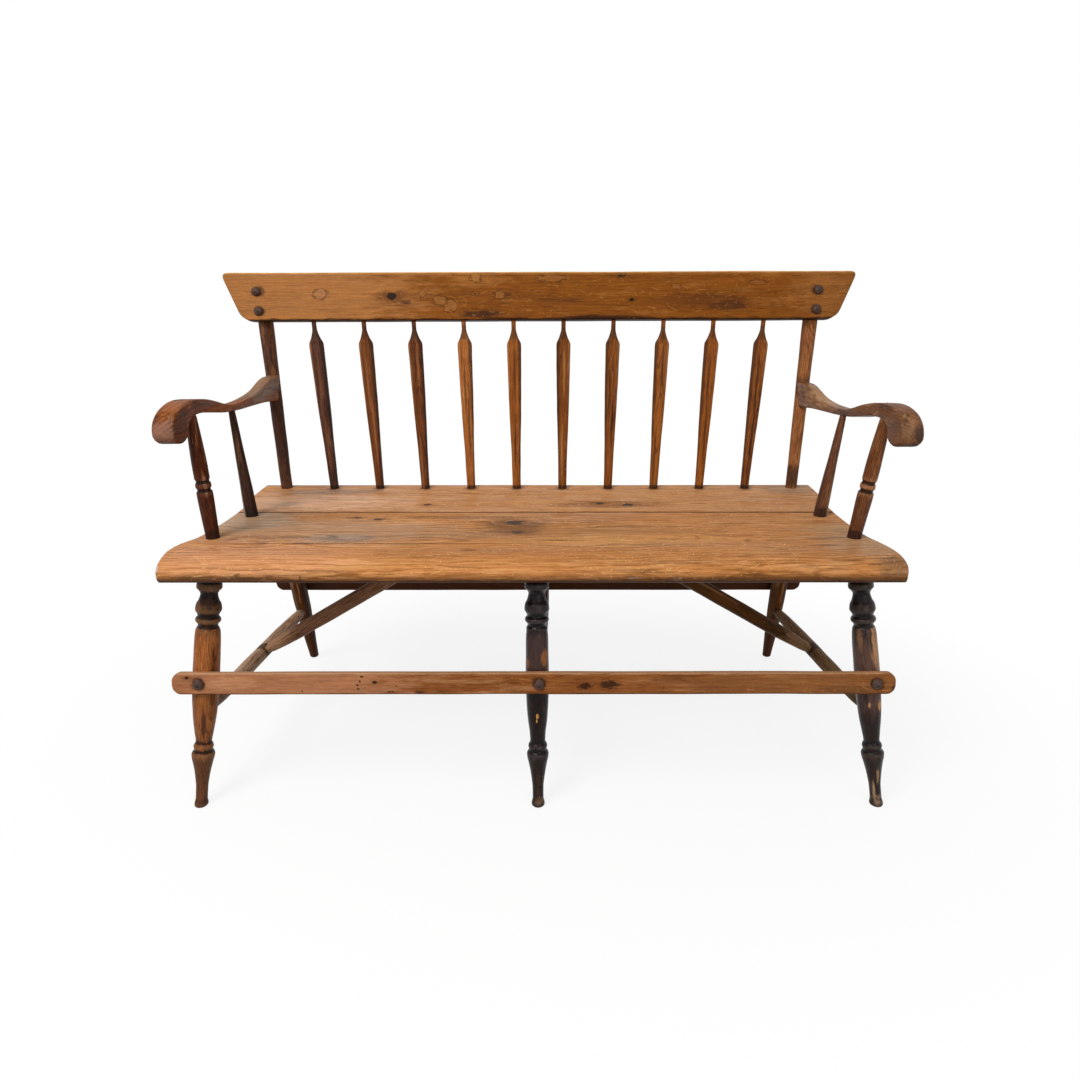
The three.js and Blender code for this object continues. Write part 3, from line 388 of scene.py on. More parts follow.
def turned_rows(profile, fine=1.6):
    """Stations along a turned stick and the radius at each of them."""
    places = [p for p, _ in profile]
    stations = []
    for a, b in zip(places, places[1:]):
        steps = max(2, int(math.ceil((b - a) / fine))) if b - a < 30 else int((b - a) / 5)
        stations += list(np.linspace(a, b, steps, endpoint=False))
    stations.append(places[-1])
    stations = np.array(stations)
    return stations, through(profile, stations)


def turned(profile, sides, facets=0, facet_depth=0.0, flatten=None, squareness=None):
    """A turned or shaved stick along X, with how far each point stands out from its surroundings."""
    stations, radii = turned_rows(profile)
    even = np.arange(stations[0], stations[-1], 1.0)
    around = np.convolve(np.pad(np.interp(even, stations, radii), 9, "edge"), np.ones(19) / 19, "valid")
    stands = (radii - np.interp(stations, even, around)) / 2.2
    angles = np.linspace(0, 2 * math.pi, sides, endpoint=False) + 0.3
    loops, relief = [], []
    for station, radius, stand in zip(stations, radii, stands):
        thin = np.interp(station, *flatten) if flatten else 1
        power = np.interp(station, *squareness) if squareness else 2
        loop = []
        for angle in angles:
            c, s = math.cos(angle), math.sin(angle)
            reach = 1 / (abs(c) ** power + abs(s) ** power) ** (1 / power)
            if facets:
                part = 2 * math.pi / facets
                flat = math.cos(part / 2) / math.cos(angle % part - part / 2)
                reach *= 1 - facet_depth * (1 - flat)
            loop.append((station, radius * reach * c, radius * reach * s * thin))
            relief.append(stand)
        loops.append(loop)
    return skin(loops, "fan"), relief + [0, 0]


def stick_frame(start, end):
    """A frame from one point to another: X along it, Y to the right, Z to the back."""
    along = end - start
    side = Vector((0, -1, 0)) if abs(along.normalized().x) > 0.75 else Vector((1, 0, 0))
    return frame_at(start, along, side)


def make_stick(name, foot, head, profile, wood, node, lumps, sides=40, facets=0, facet_depth=0.0,
               worn=0):
    """A turned or shaved stick from its foot to its head, whose profile starts at the foot."""
    body, stand = turned(profile, sides, facets, facet_depth)
    make_piece(name, body, stick_frame(foot, head), wood, node, stand, lumps, worn=worn)


# Woods

def rgb(code):
    """A linear colour from a written one."""
    parts = [int(code[i:i + 2], 16) / 255 for i in (0, 2, 4)]
    return tuple(c / 12.92 if c <= 0.04045 else ((c + 0.055) / 1.055) ** 2.4 for c in parts) + (1,)


def shade(colour, by):
    return tuple(min(1, c * by) for c in colour[:3]) + (1,)


class Value:
    """What a node puts out. The signs of arithmetic add a node, for numbers and for vectors."""

    def __init__(self, graph, socket):
        self.graph = graph
        self.socket = socket

    def join(self, operation, a, b):
        kind = "VectorMath" if self.socket.type == "VECTOR" else "Math"
        return self.graph.out(kind, {0: a, 1: b}, operation=operation)

    def __add__(self, other):
        return self.join("ADD", self, other)

    def __sub__(self, other):
        return self.join("SUBTRACT", self, other)

    def __mul__(self, other):
        return self.join("MULTIPLY", self, other)

    def __truediv__(self, other):
        return self.join("DIVIDE", self, other)

    def __rtruediv__(self, other):
        return self.join("DIVIDE", other, self)


class Graph:
    """The nodes of a material or of the world."""

    def __init__(self, owner):
        owner.use_nodes = True
        self.tree = owner.node_tree
        self.tree.nodes.clear()

    def node(self, kind, inputs, **settings):
        made = self.tree.nodes.new("ShaderNode" + kind)
        for key, value in settings.items():
            setattr(made, key, value)
        for key, value in inputs.items():
            if isinstance(value, Value):
                self.tree.links.new(value.socket, made.inputs[key])
            else:
                made.inputs[key].default_value = value
        return made

    def out(self, kind, inputs, which=0, **settings):
        """Adds a node and gives one of its outputs, or a list of them."""
        outputs = self.node(kind, inputs, **settings).outputs
        if isinstance(which, tuple):
            return [Value(self, outputs[key]) for key in which]
        return Value(self, outputs[which])

    def math(self, operation, a, b=0.0):
        return self.out("Math", {0: a, 1: b}, operation=operation)

    def parts(self, vector):
        return self.out("SeparateXYZ", {0: vector}, (0, 1, 2))

    def length(self, vector):
        return self.out("VectorMath", {0: vector}, "Value", operation="LENGTH")

    def noise(self, at, size, detail=3.0, rough=0.55):
        """Soft noise from 0 to 1."""
        return self.out("TexNoise", {"Vector": at / size, "Scale": 1.0, "Detail": detail, "Roughness": rough,
                                     "Distortion": 0.0}, "Fac")

    def sway(self, at, size, detail=3.0, rough=0.55):
        """The same noise about zero."""
        return self.noise(at, size, detail, rough) - 0.5

    def step(self, value, start, end, low=0.0, high=1.0):
        return self.out("MapRange", {"Value": value, "From Min": start, "From Max": end, "To Min": low,
                                     "To Max": high}, interpolation_type="SMOOTHSTEP")

    def blend(self, share, under, over, mode="MIX"):
        return self.out("Mix", {0: share, 6: under, 7: over}, 2, data_type="RGBA", blend_type=mode)

    def scratch(self, at, cell, length, width, turn, chance):
        """Thin straight marks, at most one in each cell, of odd lengths and angles."""
        grid = (cell, cell, 1)
        middle, picked = self.out("TexVoronoi", {"Vector": at / grid, "Scale": 1.0}, ("Position", "Color"),
                                  voronoi_dimensions="2D")
        angle, long, shown = self.out("SeparateColor", {0: picked}, (0, 1, 2))
        away = self.out("VectorRotate", {"Vector": at - middle * grid, "Angle": (angle - 0.5) * turn},
                        rotation_type="Z_AXIS")
        x, y, _ = self.parts(away)
        along = self.math("ABSOLUTE", x) / (long * length)
        mark = self.step(self.math("ABSOLUTE", y), width, width * 0.3) * self.step(along, 1.0, 0.5)
        return mark * self.step(shown, 1 - chance, 1.02 - chance)

    def ramp(self, value, stops):
        made = self.node("ValToRGB", {"Fac": value})
        band = made.color_ramp
        while len(band.elements) < len(stops):
            band.elements.new(0.5)
        for element, (place, colour) in zip(band.elements, stops):
            element.position, element.color = place, colour
        return Value(self, made.outputs[0])

    def direct(self):
        """One where the camera sees it straight, in a mirror or through glass, and else zero."""
        camera_ray, mirrored, through_glass = self.out(
            "LightPath", {}, ("Is Camera Ray", "Is Glossy Ray", "Is Transmission Ray"))
        return self.math("MAXIMUM", self.math("MAXIMUM", camera_ray, mirrored), through_glass)


def wood(name, tones, seed=0, pith=(0, -70), spacing=5.0, wander=14, rings=0.3, fibre=2.2,
         knots=(), stains_and_shade=(), scratches=0.0, marks=(34, 14, 0.9), arcs=(), pits=0.0, pores=0.6,
         blotches=(), relief=None, edge=(), gloss=(0.42, 0.66), shine=0.08, bump=0.4, contrast=0.9,
         sweep=0.5, pale=0.3, patches=(), score=None):
    """Old wood with its grain along X. Places are millimetres in the piece's own frame."""
    material = bpy.data.materials.new(name)
    g = Graph(material)
    offset = (seed * 137.0, seed * 53.0, seed * 31.0)
    here = g.out("Attribute", {}, "Vector", attribute_name="grain")
    at = here + offset

    # The grain gives way around each knot
    flow = here
    for x, y, radius, _ in knots:
        away = here - (x, y, 0)
        near = g.length(away * (0.4, 1, 0))
        pull = radius * radius * 1.9 / (near * near + radius * radius * 1.3)
        flow = flow - away * g.out("CombineXYZ", {0: 0.0, 1: pull, 2: 0.0})
    flow_at = flow + offset

    # Thin dark lines of late wood, in rings about a wandering middle
    _, across, deep = g.parts(flow)
    across = across - pith[0] + g.sway(flow_at, (90, 24, 24)) * (wander * 0.9)
    deep = deep - pith[1] + g.sway(flow_at, (300, 90, 90), 2.0) * (wander * 5.0)
    ring = g.math("SQRT", across * across + deep * deep) / spacing
    late = g.ramp(g.math("FRACT", ring), [(0.0, (0, 0, 0, 1)), (0.55, (0.1, 0.1, 0.1, 1)),
                                          (0.88, (1, 1, 1, 1)), (1.0, (0, 0, 0, 1))])
    late = late * g.step(g.noise(at, (170, 36, 36), 2.0), 0.38, 0.62, 0.3, 1.0)

    # Fibres at three widths and a mottle, then the tones
    fine = g.noise(flow_at, (fibre * 30, fibre, fibre), 5.0, 0.72)
    broad = g.noise(flow_at, (fibre * 80, fibre * 9, fibre * 9))
    value = (fine - 0.5) * (0.85 * contrast) + (0.5 + rings * 0.25)
    value += g.sway(flow_at, (fibre * 7, fibre * 0.8, fibre * 0.8), 4.0, 0.7) * (0.8 * contrast)
    value += (broad - 0.5) * (1.1 * sweep)
    value += g.sway(at, (48, 22, 22), 4.0, 0.6) * (0.8 * sweep)
    value -= late * rings
    light_grain = value * 1.3 + 0.35
    dark, middle, light = (rgb(t) for t in tones)
    colour = g.ramp(value, [(0.0, shade(dark, 0.6)), (0.22, dark), (0.5, middle), (0.8, light),
                            (1.0, shade(light, 1.2))])
    height = fine * 0.6 + late * 0.12
    rough = g.step(broad, 0.35, 0.65, gloss[0], gloss[1])

    def stained(share, tone):
        """The wood so far with a tone laid over it, through which the grain shows."""
        return g.blend(share, colour, g.blend(1.0, rgb(tone), light_grain, "MULTIPLY"))

    # Wide patches of other tones
    for tone, long, thin, first, last, strength, turn in blotches:
        patch = g.noise(at + (turn * 71.0, turn * 19.0, 0), (long, thin, thin), 4.0, 0.62)
        colour = stained(g.step(patch, first, last) * strength, tone)

    # Short dark pores and cracks along the grain, and thin pale lines between them
    line = g.noise(flow_at, (fibre * 11, fibre * 0.65, fibre * 0.65), 3.0, 0.6)
    crack = g.step(line, 0.57, 0.68) * g.step(g.noise(at, (60, 20, 20)), 0.4, 0.6, 0.25, 1.0)
    colour = g.blend(crack * pores, colour, shade(dark, 0.45))
    height -= crack * 0.4
    line = g.noise(flow_at + (61, 23, 17), (fibre * 8, fibre * 0.65, fibre * 0.65), 3.0, 0.6)
    colour = g.blend(g.step(line, 0.56, 0.7, 0.0, pale), colour, shade(light, 1.3))

    # Stains, and on some pieces painted shade, at their places: place, reach, tone, strength and how ragged
    for spot, (rx, ry, rz), tone, strength, ragged in stains_and_shade:
        grainy = g.sway(at, (min(rx * 0.5, 36), min(ry * 0.4, 7), min(rz * 0.4, 7)), 4.0, 0.68)
        apart = grainy * (2.6 * ragged) + g.length((here - spot) / (rx, ry, rz))
        colour = stained(g.step(apart, 1.15, 0.55) * strength, tone)

    # Knots: a dark eye with a ragged rim, drawn out along the grain
    for x, y, radius, tone in knots:
        away = here - (x, y, 0)
        wobble = g.sway(at, (radius, radius * 0.7, 9))
        halo = wobble * 2.0 + g.length(away / (radius * 4.5, radius * 1.8, ENDLESS))
        eye = wobble * 0.9 + g.length(away / (radius * 1.25, radius, ENDLESS))
        full = 0.85 if radius < SOFT_KNOT else 0.4
        colour = g.blend(g.step(halo, 1.1, 0.3, 0.0, 0.45), colour, shade(dark, 0.6))
        colour = g.blend(g.step(eye, 1.1, full, 0.0, 0.95), colour, rgb(tone))
        height -= g.step(eye, 1.2, 0.9, 0.0, 0.3)

    # Small pale patches with a thin dark rim
    for x, y, z, rx, ry, tone in patches:
        ragged = g.sway(at, (rx * 0.8, ry * 0.8, 9), 4.0, 0.6) * 2.4
        apart = ragged + g.length((here - (x, y, z)) / (rx, ry, 12))
        colour = g.blend(g.step(apart, 1.55, 1.25, 0.0, 0.75), colour, shade(dark, 0.7))
        colour = stained(g.step(apart, 1.2, 1.0, 0.0, 0.75), tone)

    # Pale scratches, straight and curved, and worm holes
    if scratches:
        cell, length, width = marks
        x, y, z = g.parts(at)
        laid = g.out("CombineXYZ", {0: x, 1: y + z, 2: 0.0})
        scored = g.scratch(laid, cell, length, width, 1.0, 0.8)
        for shift, closer, shorter, chance in (((19, 37, 0), 0.7, 0.6, 0.6), ((7, 11, 0), 0.35, 0.3, 0.5)):
            more = g.scratch(laid + shift, cell * closer, length * shorter, width * 0.8, 3.1, chance)
            scored = g.math("MAXIMUM", scored, more)
        scored = scored * g.step(g.noise(at, (150, 60, 60)), 0.4, 0.56, 0.2, 1.0) * scratches
        colour = g.blend(scored, colour, rgb(score) if score else shade(light, 1.4))
        height -= scored * 0.3
    for x, y, radius, width, first, last in arcs:
        away = here - (x, y, 0)
        off = g.math("ABSOLUTE", g.length(away * (1, 1, 0)) - radius)
        right, up, _ = g.parts(away)
        angle = g.math("ARCTAN2", up, right)
        inside = g.step(angle, first, first + 0.08) * g.step(angle, last, last - 0.08)
        colour = g.blend(g.step(off, width, width * 0.4) * inside * 0.7, colour, shade(light, 1.4))
    if pits:
        far = g.out("TexVoronoi", {"Vector": at / (17, 17, 17), "Scale": 1.0}, "Distance")
        pit = g.step(far, 0.1, 0.05) * g.step(g.noise(at, (70, 50, 50), 2.0), 0.55, 0.62)
        colour = g.blend(pit * pits, colour, shade(dark, 0.25))
        height -= pit

    # Beads are paler, worn through first, and on the dark legs their paler tone is a painted highlight;
    # grooves keep the dirt
    if relief:
        raised, sunk, strength = relief
        stand = g.out("Attribute", {}, "Fac", attribute_name="relief")
        grain = g.sway(at, (13, 5, 5), 4.0, 0.7) * 1.5
        colour = g.blend(g.step(stand + grain, 0.1, 0.55, 0.0, strength), colour, rgb(raised))
        colour = g.blend(g.step(stand - grain, -0.05, -0.45, 0.0, 0.9), colour, rgb(sunk))

    # Bands along an edge, of wear and dirt on some pieces and of painted highlight and painted shade on
    # others: axis, start, full, tone, strength
    for axis, first, last, tone, strength in edge:
        along = g.sway(at, (30, 4, 4), 4.0, 0.65) * (2.4 * abs(last - first)) + g.parts(here)[axis]
        colour = g.blend(g.step(along, first, last, 0.0, strength), colour, rgb(tone))

    uneven = g.out("Bump", {"Height": height, "Strength": bump, "Distance": 0.0012})
    surface = g.out("BsdfPrincipled", {"Base Color": colour, "Roughness": rough, "Normal": uneven,
                                       "IOR": 1.45, "Specular IOR Level": shine})
    g.node("OutputMaterial", {"Surface": surface})
    return material


# Seat

def seat_end(side, y):
    share = y / SEAT_DEPTH
    curve = [(0, 0)] + SEAT_END[side]
    drawn = float(through(curve, np.array([share]))[0])
    half = SEAT_HALF_LENGTH - SEAT_WAIST * drawn
    if y < SEAT_CORNER:
        half += math.sqrt(SEAT_CORNER ** 2 - (SEAT_CORNER - y) ** 2) - SEAT_CORNER
    return half


def seat_rows(front, back):
    """Rows of one seat board, whose top is at zero."""
    rows = []
    if front == 0:
        for angle in np.linspace(0.04, math.pi / 2, 20):
            y = NOSE_DEPTH * (1 - math.cos(angle))
            top = -NOSE_DROP * (1 - math.sin(angle))
            under = min(1, y / UNDERCUT)
            bottom = -NOSE_DROP - (SEAT_THICKNESS - NOSE_DROP) * math.sqrt(1 - (1 - under) ** 2)
            rows.append((y, bottom, top))
        start = NOSE_DEPTH
    else:
        rows += [(front + r, -SEAT_THICKNESS + i, -i) for r, i in ((0, 1.2), (0.35, 0.5), (1.2, 0))]
        start = front + 1.2
    rows += [(y, -SEAT_THICKNESS, 0) for y in np.arange(start, back - 4, 6)[1:]]
    rows += [(back - r, -SEAT_THICKNESS + i, -i) for r, i in ((1.2, 0), (0.35, 0.5), (0, 1.2))]
    return rows


seat_place = frame_at((SEAT_SHIFT, 0, SEAT_HEIGHT), (1, 0, 0), (0, 1, 0))
seat_front_wood = wood(
    "seat_front_pine", ("96602f", "b67843", "cb8f58"), seed=3, pith=(120, -46), spacing=7.5, wander=17,
    rings=0.42, fibre=4.6, pores=0.85, scratches=0.5, marks=(30, 13, 1.3), gloss=(0.42, 0.62), bump=0.5,
    contrast=1.1, sweep=0.4, pale=0.45, score="e9bf85",
    knots=[
        (-271, 224, 6, "4d3b34"), (-308, 233, 6, "5b463a"), (-35, 203, 17, "3a2a26"),
        (-27, 150, 11, "4a3128")],
    stains_and_shade=[
        ((-310, 120, 0), (60, 24, 60), "6e6460", 0.75, 0.5),
        ((-360, 160, 0), (230, 80, 60), "a88c74", 0.45, 0.9),
        ((60, 150, 0), (260, 60, 60), "9c6b3d", 0.45, 0.9),
        ((-490, 215, 0), (90, 70, 60), "a8937e", 0.6, 0.7),
        ((-430, 40, 0), (200, 60, 60), "c98f68", 0.5, 0.8),
        ((-250, 92, 0), (330, 2.6, 20), "5f3a22", 0.65, 0.25),
        ((150, 110, 0), (200, 34, 20), "c08a50", 0.5, 0.8),
        ((-120, 235, 0), (160, 10, 20), "6d4a30", 0.5, 0.8),
        ((520, 120, 0), (80, 90, 60), "a08a70", 0.4, 0.8), ((-447, 9, -11), (20, 3, 3), "e0b070", 0.75, 0.7),
        ((-432, 3, -19), (7, 5, 5), "4a3020", 0.6, 0.7), ((-340, 2, -24), (1.8, 6, 6), "33201a", 0.8, 0.1),
        ((55, 8, -12), (16, 3, 4), "4a2d1a", 0.6, 0.6), ((213, 5, -24), (14, 5, 4), "e6ddd2", 0.9, 0.8),
        # The bluish white spot at the left end, x -551, is a painted highlight.
        ((150, 4, -23), (16, 5, 2.5), "d8c8b4", 0.6, 0.8), ((-551, 4, -10), (3.5, 8, 6), "b5b0b4", 0.8, 0.4),
        ((-450, 2, -24), (100, 6, 4.5), "3f2a1e", 0.7, 0.7),
        ((538, 14, -4), (34, 22, 60), "70523a", 0.7, 0.8), ((505, 12, -6), (12, 3, 60), "553a22", 0.6, 0.6),
        ((470, 22, -4), (30, 3, 60), "6d4a2c", 0.6, 0.6), ((360, 3, -26), (280, 8, 7), "4a2d18", 0.7, 0.5),
        ((-34, 180, 0), (56, 44, 60), "6b4426", 0.65, 0.7), ((0, 45, 0), (300, 30, 60), "a86c38", 0.4, 0.8),
        ((459, 84, 0), (26, 4, 20), "5a3a24", 0.7, 0.6), ((39, 109, 0), (46, 4, 20), "6f4828", 0.6, 0.7),
        ((-99, 61, 0), (14, 5, 20), "5f3c20", 0.6, 0.7)],
    arcs=[(-505, 40, 38, 1.1, 2.3, 3.0)],
    blotches=[
        ("9a6334", 230, 46, 0.48, 0.72, 0.35, 1), ("cfa276", 150, 40, 0.5, 0.72, 0.3, 2),
        ("8c7358", 240, 34, 0.52, 0.7, 0.3, 3), ("7c4c26", 70, 6, 0.58, 0.7, 0.4, 4)],
    edge=[
        (2, -17, -27, "6b4327", 0.7), (2, -25, -30, "3a2016", 0.85),
        (1, SEAM - 5, SEAM - 1.5, "3f2413", 0.8)])
seat_rear_wood = wood(
    "seat_rear_pine", ("a36a3b", "c08552", "d69e6c"), seed=5, pith=(420, -50), spacing=7.0, wander=14,
    rings=0.36, fibre=4.8, pores=0.8, scratches=0.5, marks=(40, 15, 1.5), gloss=(0.45, 0.66), bump=0.5,
    contrast=1.0, sweep=0.4, pale=0.4, score="edc79c",
    knots=[(-199, 316, 6, "422d22"), (117, 323, 7, "352824"), (169, 314, 8, "362a25")],
    stains_and_shade=[
        ((-457, 320, 0), (26, 15, 60), "6b605a", 0.8, 0.5),
        ((-400, 405, 0), (110, 26, 60), "8d7c70", 0.55, 0.8),
        ((140, 318, 0), (120, 26, 60), "7f4f28", 0.6, 0.7),
        ((500, 420, 0), (60, 40, 60), "8a7868", 0.5, 0.8),
        ((-420, 330, 0), (200, 60, 60), "dcb092", 0.6, 0.9)]
    + [((spindle_x(SPINDLE_FEET, i) - SEAT_SHIFT, 433, 0), (15, 15, 20), "4a3020", 0.6, 0.5)
       for i in range(SPINDLES)],
    blotches=[
        ("9a6338", 230, 46, 0.48, 0.72, 0.35, 1), ("cda688", 150, 40, 0.48, 0.7, 0.35, 2),
        ("7c4c2a", 80, 7, 0.58, 0.7, 0.4, 4)],
    edge=[(1, SEAM + 5, SEAM + 1.5, "3f2413", 0.8), (1, 456, 460, "6d4a30", 0.6)])

for name, front, back, made in (("front", 0, SEAM - SEAM_GAP / 2, seat_front_wood),
                                ("rear", SEAM + SEAM_GAP / 2, SEAT_DEPTH, seat_rear_wood)):
    body = plank(seat_rows(front, back), lambda y: -seat_end("left", y), lambda y: seat_end("right", y), 2.0)
    make_piece(f"seat_{name}", body, seat_place, made, f"seat_board_{name}", lumps=(0.5, 80))

golden = wood("golden_wood", ("5e3518", "8a562b", "a66f3b"), seed=9, pith=(40, -30), spacing=2.6)
for number, share in enumerate((-0.73, -0.36, 0.36, 0.73), 1):
    middle = Vector((share * SEAT_HALF_LENGTH, SEAM, SEAT_HEIGHT - SEAT_THICKNESS / 2))
    reach = Vector((0, 30, 0))
    make_stick(f"dowel_{number}", middle - reach, middle + reach, [(0, 4.4), (1.5, 5), (58.5, 5), (60, 4.4)],
               golden, f"seat_dowel_{number}", (0, 1), 16)

# Crest rail

def rail_end(y):
    slope_length = math.hypot(RAIL_SLANT, RAIL_WIDTH)
    lower = RAIL_LOWER_CORNER / slope_length
    upper = RAIL_UPPER_CORNER / slope_length
    top = RAIL_LENGTH / 2
    bottom = top - RAIL_SLANT
    if y < RAIL_WIDTH * lower:
        t = math.sqrt(max(y, 0) / (RAIL_WIDTH * lower))
        return ((1 - t) ** 2 * (bottom - RAIL_LOWER_CORNER) + 2 * t * (1 - t) * bottom
                + t * t * (bottom + RAIL_SLANT * lower))
    if y > RAIL_WIDTH * (1 - upper):
        s = math.sqrt(max(RAIL_WIDTH - y, 0) / (RAIL_WIDTH * upper))
        return (s * s * (top - RAIL_SLANT * upper) + 2 * s * (1 - s) * top
                + (1 - s) ** 2 * (top - RAIL_UPPER_CORNER))
    return bottom + RAIL_SLANT * y / RAIL_WIDTH


rail_x = Vector((math.cos(RAIL_TILT), math.sin(RAIL_TILT) * math.sin(BACK_LEAN),
                 math.sin(RAIL_TILT) * math.cos(BACK_LEAN)))
rail_place = frame_at(back_point(RAIL_SHIFT, RAIL_UP), rail_x,
                      (0, math.sin(BACK_LEAN), math.cos(BACK_LEAN)))
crest_wood = wood(
    "crest_pine", ("5c310a", "7a440e", "8e541a"), seed=11, pith=(-80, -34), spacing=6.0, wander=12,
    rings=0.12, fibre=3.2, scratches=0.3, marks=(34, 12, 1.1), gloss=(0.4, 0.6), bump=0.35, contrast=0.85,
    sweep=0.35, pale=0.35, score="c98f50",
    patches=[
        (-172, 28, 33, 10, 10, "98622e"), (-190, 38, 33, 12, 7, "96602c"), (-77, 48, 33, 8, 7, "905a28"),
        (-122, 80, 33, 8, 7, "a06a36"), (22, 79, 33, 20, 7, "905a28"), (-224, 50, 33, 5, 6, "9a6432"),
        (262, 62, 33, 8, 4, "8c5626"), (-420, 50, 33, 10, 8, "a8744a"), (420, 70, 33, 12, 4, "8a5426")],
    knots=[(-283, 45.5, 7.5, "20130e"), (157, 88, 8, "2c190e"), (177, 37.7, 3.5, "1a0e08")],
    stains_and_shade=[
        ((-520, 48, 33), (330, 110, 60), "a06a3a", 0.85, 0.5),
        ((-112, 11, 33), (42, 8, 40), "381d0d", 0.85, 0.6), ((120, 3, 33), (95, 7, 40), "2b1408", 0.85, 0.6),
        ((365, 26, 33), (36, 11, 40), "3c200f", 0.7, 0.8),
        ((308, 37, 33), (110, 14, 40), "52290f", 0.5, 0.8),
        ((-256, 34, 33), (12, 5, 40), "2a1810", 0.7, 0.7), ((560, 50, 33), (80, 60, 40), "8f5d30", 0.5, 0.8),
        ((-62, 46, 33), (9, 7, 40), "3a1f0e", 0.6, 0.8), ((-283, 45, 33), (40, 14, 40), "6b3f1e", 0.6, 0.6),
        ((39, 37, 33), (60, 6, 40), "4f2910", 0.5, 0.8), ((-120, 75, 33), (60, 14, 40), "a06a35", 0.4, 0.7)]
    + [((x, y, 33), (11.5, 11, 10), "2e180d", 0.7, 0.2)
       for x, y in ((-536, 18.4), (-536, 55.2), (532, 18.4), (532, 55.2))],
    blotches=[
        ("5a3010", 150, 22, 0.5, 0.72, 0.4, 1), ("a3703a", 60, 20, 0.54, 0.7, 0.3, 2),
        ("3f200c", 50, 3, 0.6, 0.72, 0.4, 3)],
    arcs=[(-425, 40, 30, 0.9, -1.2, 0.9), (-172, 31, 14, 0.7, -2.6, 1.9), (-150, 34, 10, 0.7, -1.0, 2.4)],
    edge=[(1, 84, 87, "a06a34", 0.5), (1, 88.2, 90.4, "dca768", 0.85), (1, 6.0, 1.0, "220e04", 0.9)])
rail_rows = board_edge(0, RAIL_WIDTH, RAIL_BACK_FACE, RAIL_FRONT_FACE, 2.4, 5, 5)
make_piece("crest", plank(rail_rows, lambda y: -rail_end(y), rail_end, 3.0), rail_place, crest_wood,
           "crest_rail", lumps=(0.7, 50))

# Pegs, with uneven domed heads

peg_wood = wood(
    "peg_wood", ("20150f", "43302a", "6a4f42"), seed=13, pith=(6, -14), spacing=1.8, fibre=1.0,
    gloss=(0.3, 0.5), shine=0.2, contrast=1.4,
    blotches=[("17100c", 5, 5, 0.5, 0.62, 0.8, 1), ("8a6850", 4, 4, 0.62, 0.72, 0.6, 2)])


def make_peg(name, place_frame, x, y, face, sign, seed, node):
    rows = [(-PEG_SHANK, PEG_SHANK_RADIUS), (0, PEG_SHANK_RADIUS), (0.05, PEG_RADIUS - 0.1)]
    rows += [(0.3 + PEG_DOME * math.sin(a), PEG_RADIUS * math.cos(a) ** 0.85)
             for a in np.linspace(0.12, 1.42, 9)]
    loops = []
    for along, radius in rows:
        loop = []
        for angle in np.linspace(0, 2 * math.pi, 28, endpoint=False):
            reach = radius * (1 - 0.03 * (1 + math.cos(3 * angle + seed))
                              - 0.015 * (1 + math.sin(5 * angle + 2.1 * seed)))
            lean = 1 - 0.06 * max(0, math.cos(angle - seed)) * (along > 4)
            loop.append((along * lean, reach * math.cos(angle), reach * math.sin(angle)))
        loops.append(loop)
    turn = place_frame.to_3x3()
    place = frame_at((0, 0, 0), turn @ Vector((0, 0, sign)), turn @ Vector((0, 1, 0)))
    place.translation = place_frame @ (Vector((x, y, face)) * MM)
    make_piece(name, skin(loops, "fan"), place, peg_wood, node, lumps=(0.5, 5), sharp=50)


def post_across(end, up):
    foot, head = end["post"]
    return end["sign"] * (foot + (head - foot) * up / RAIL_UP)


number = 0
for end in ENDS.values():
    for share in (0.2, 0.6):
        number += 1
        up = RAIL_WIDTH * share
        make_peg(f"rail_peg_{number}", rail_place, post_across(end, RAIL_UP + up) - RAIL_SHIFT, up,
                 RAIL_FRONT_FACE, 1, number * 1.7, f"crest_peg_{number}")

# Back posts

post_woods = {
    "left": wood(
        "post_dark", ("2c1409", "4e2b19", "744a2d"), seed=17, pith=(30, -30), spacing=2.6, fibre=2.3,
        gloss=(0.34, 0.54), shine=0.12,
        stains_and_shade=[
            ((330, -4, -12), (45, 5, 20), "8a5a34", 0.8, 0.8),
            ((215, 6, -10), (30, 4, 20), "80512c", 0.7, 0.8),
            ((110, 0, 0), (120, 40, 40), "2c180f", 0.75, 0.8)],
        blotches=[("1f130e", 60, 10, 0.52, 0.7, 0.6, 1), ("8a5d38", 70, 6, 0.58, 0.7, 0.7, 2)]),
    "right": wood(
        "post_golden", ("4e2a10", "8c5530", "b07a48"), seed=19, pith=(26, -40), spacing=2.8, fibre=2.3,
        gloss=(0.4, 0.6),
        stains_and_shade=[
            ((20, 0, 0), (26, 40, 40), "2e1c14", 0.75, 0.7), ((195, 0, 0), (26, 40, 40), "3a2214", 0.6, 0.8)],
        blotches=[("3a2012", 90, 8, 0.54, 0.7, 0.55, 1), ("b98a5c", 80, 8, 0.56, 0.7, 0.5, 2)]),
}
for side, end in ENDS.items():
    foot = back_point(post_across(end, 0), 0)
    head = back_point(post_across(end, POST_TOP), POST_TOP)
    length = (head - foot).length
    rail_line = length * RAIL_UP / POST_TOP
    profile = [(-SOCKET, POST_FOOT_RADIUS), (0, POST_FOOT_RADIUS), (length * 0.3, 12.6), (length * 0.6, 13.9),
               (rail_line, POST_HEAD_RADIUS), (length - 1.5, POST_HEAD_RADIUS),
               (length, POST_HEAD_RADIUS - 1.5)]
    (vertices, faces), stand = turned(profile, 48, 10, 0.8)
    # The post is cut back where the rail lies in it
    front = -(RAIL_BACK_FACE + 0.4)
    eased = [(x, y, max(z, front) if x > rail_line + 1 else z) for x, y, z in vertices]
    make_piece(f"post_{side}", (eased, faces), stick_frame(foot, head), post_woods[side],
               f"back_post_{side}", stand, lumps=(0.5, 18))

# Arrow spindles

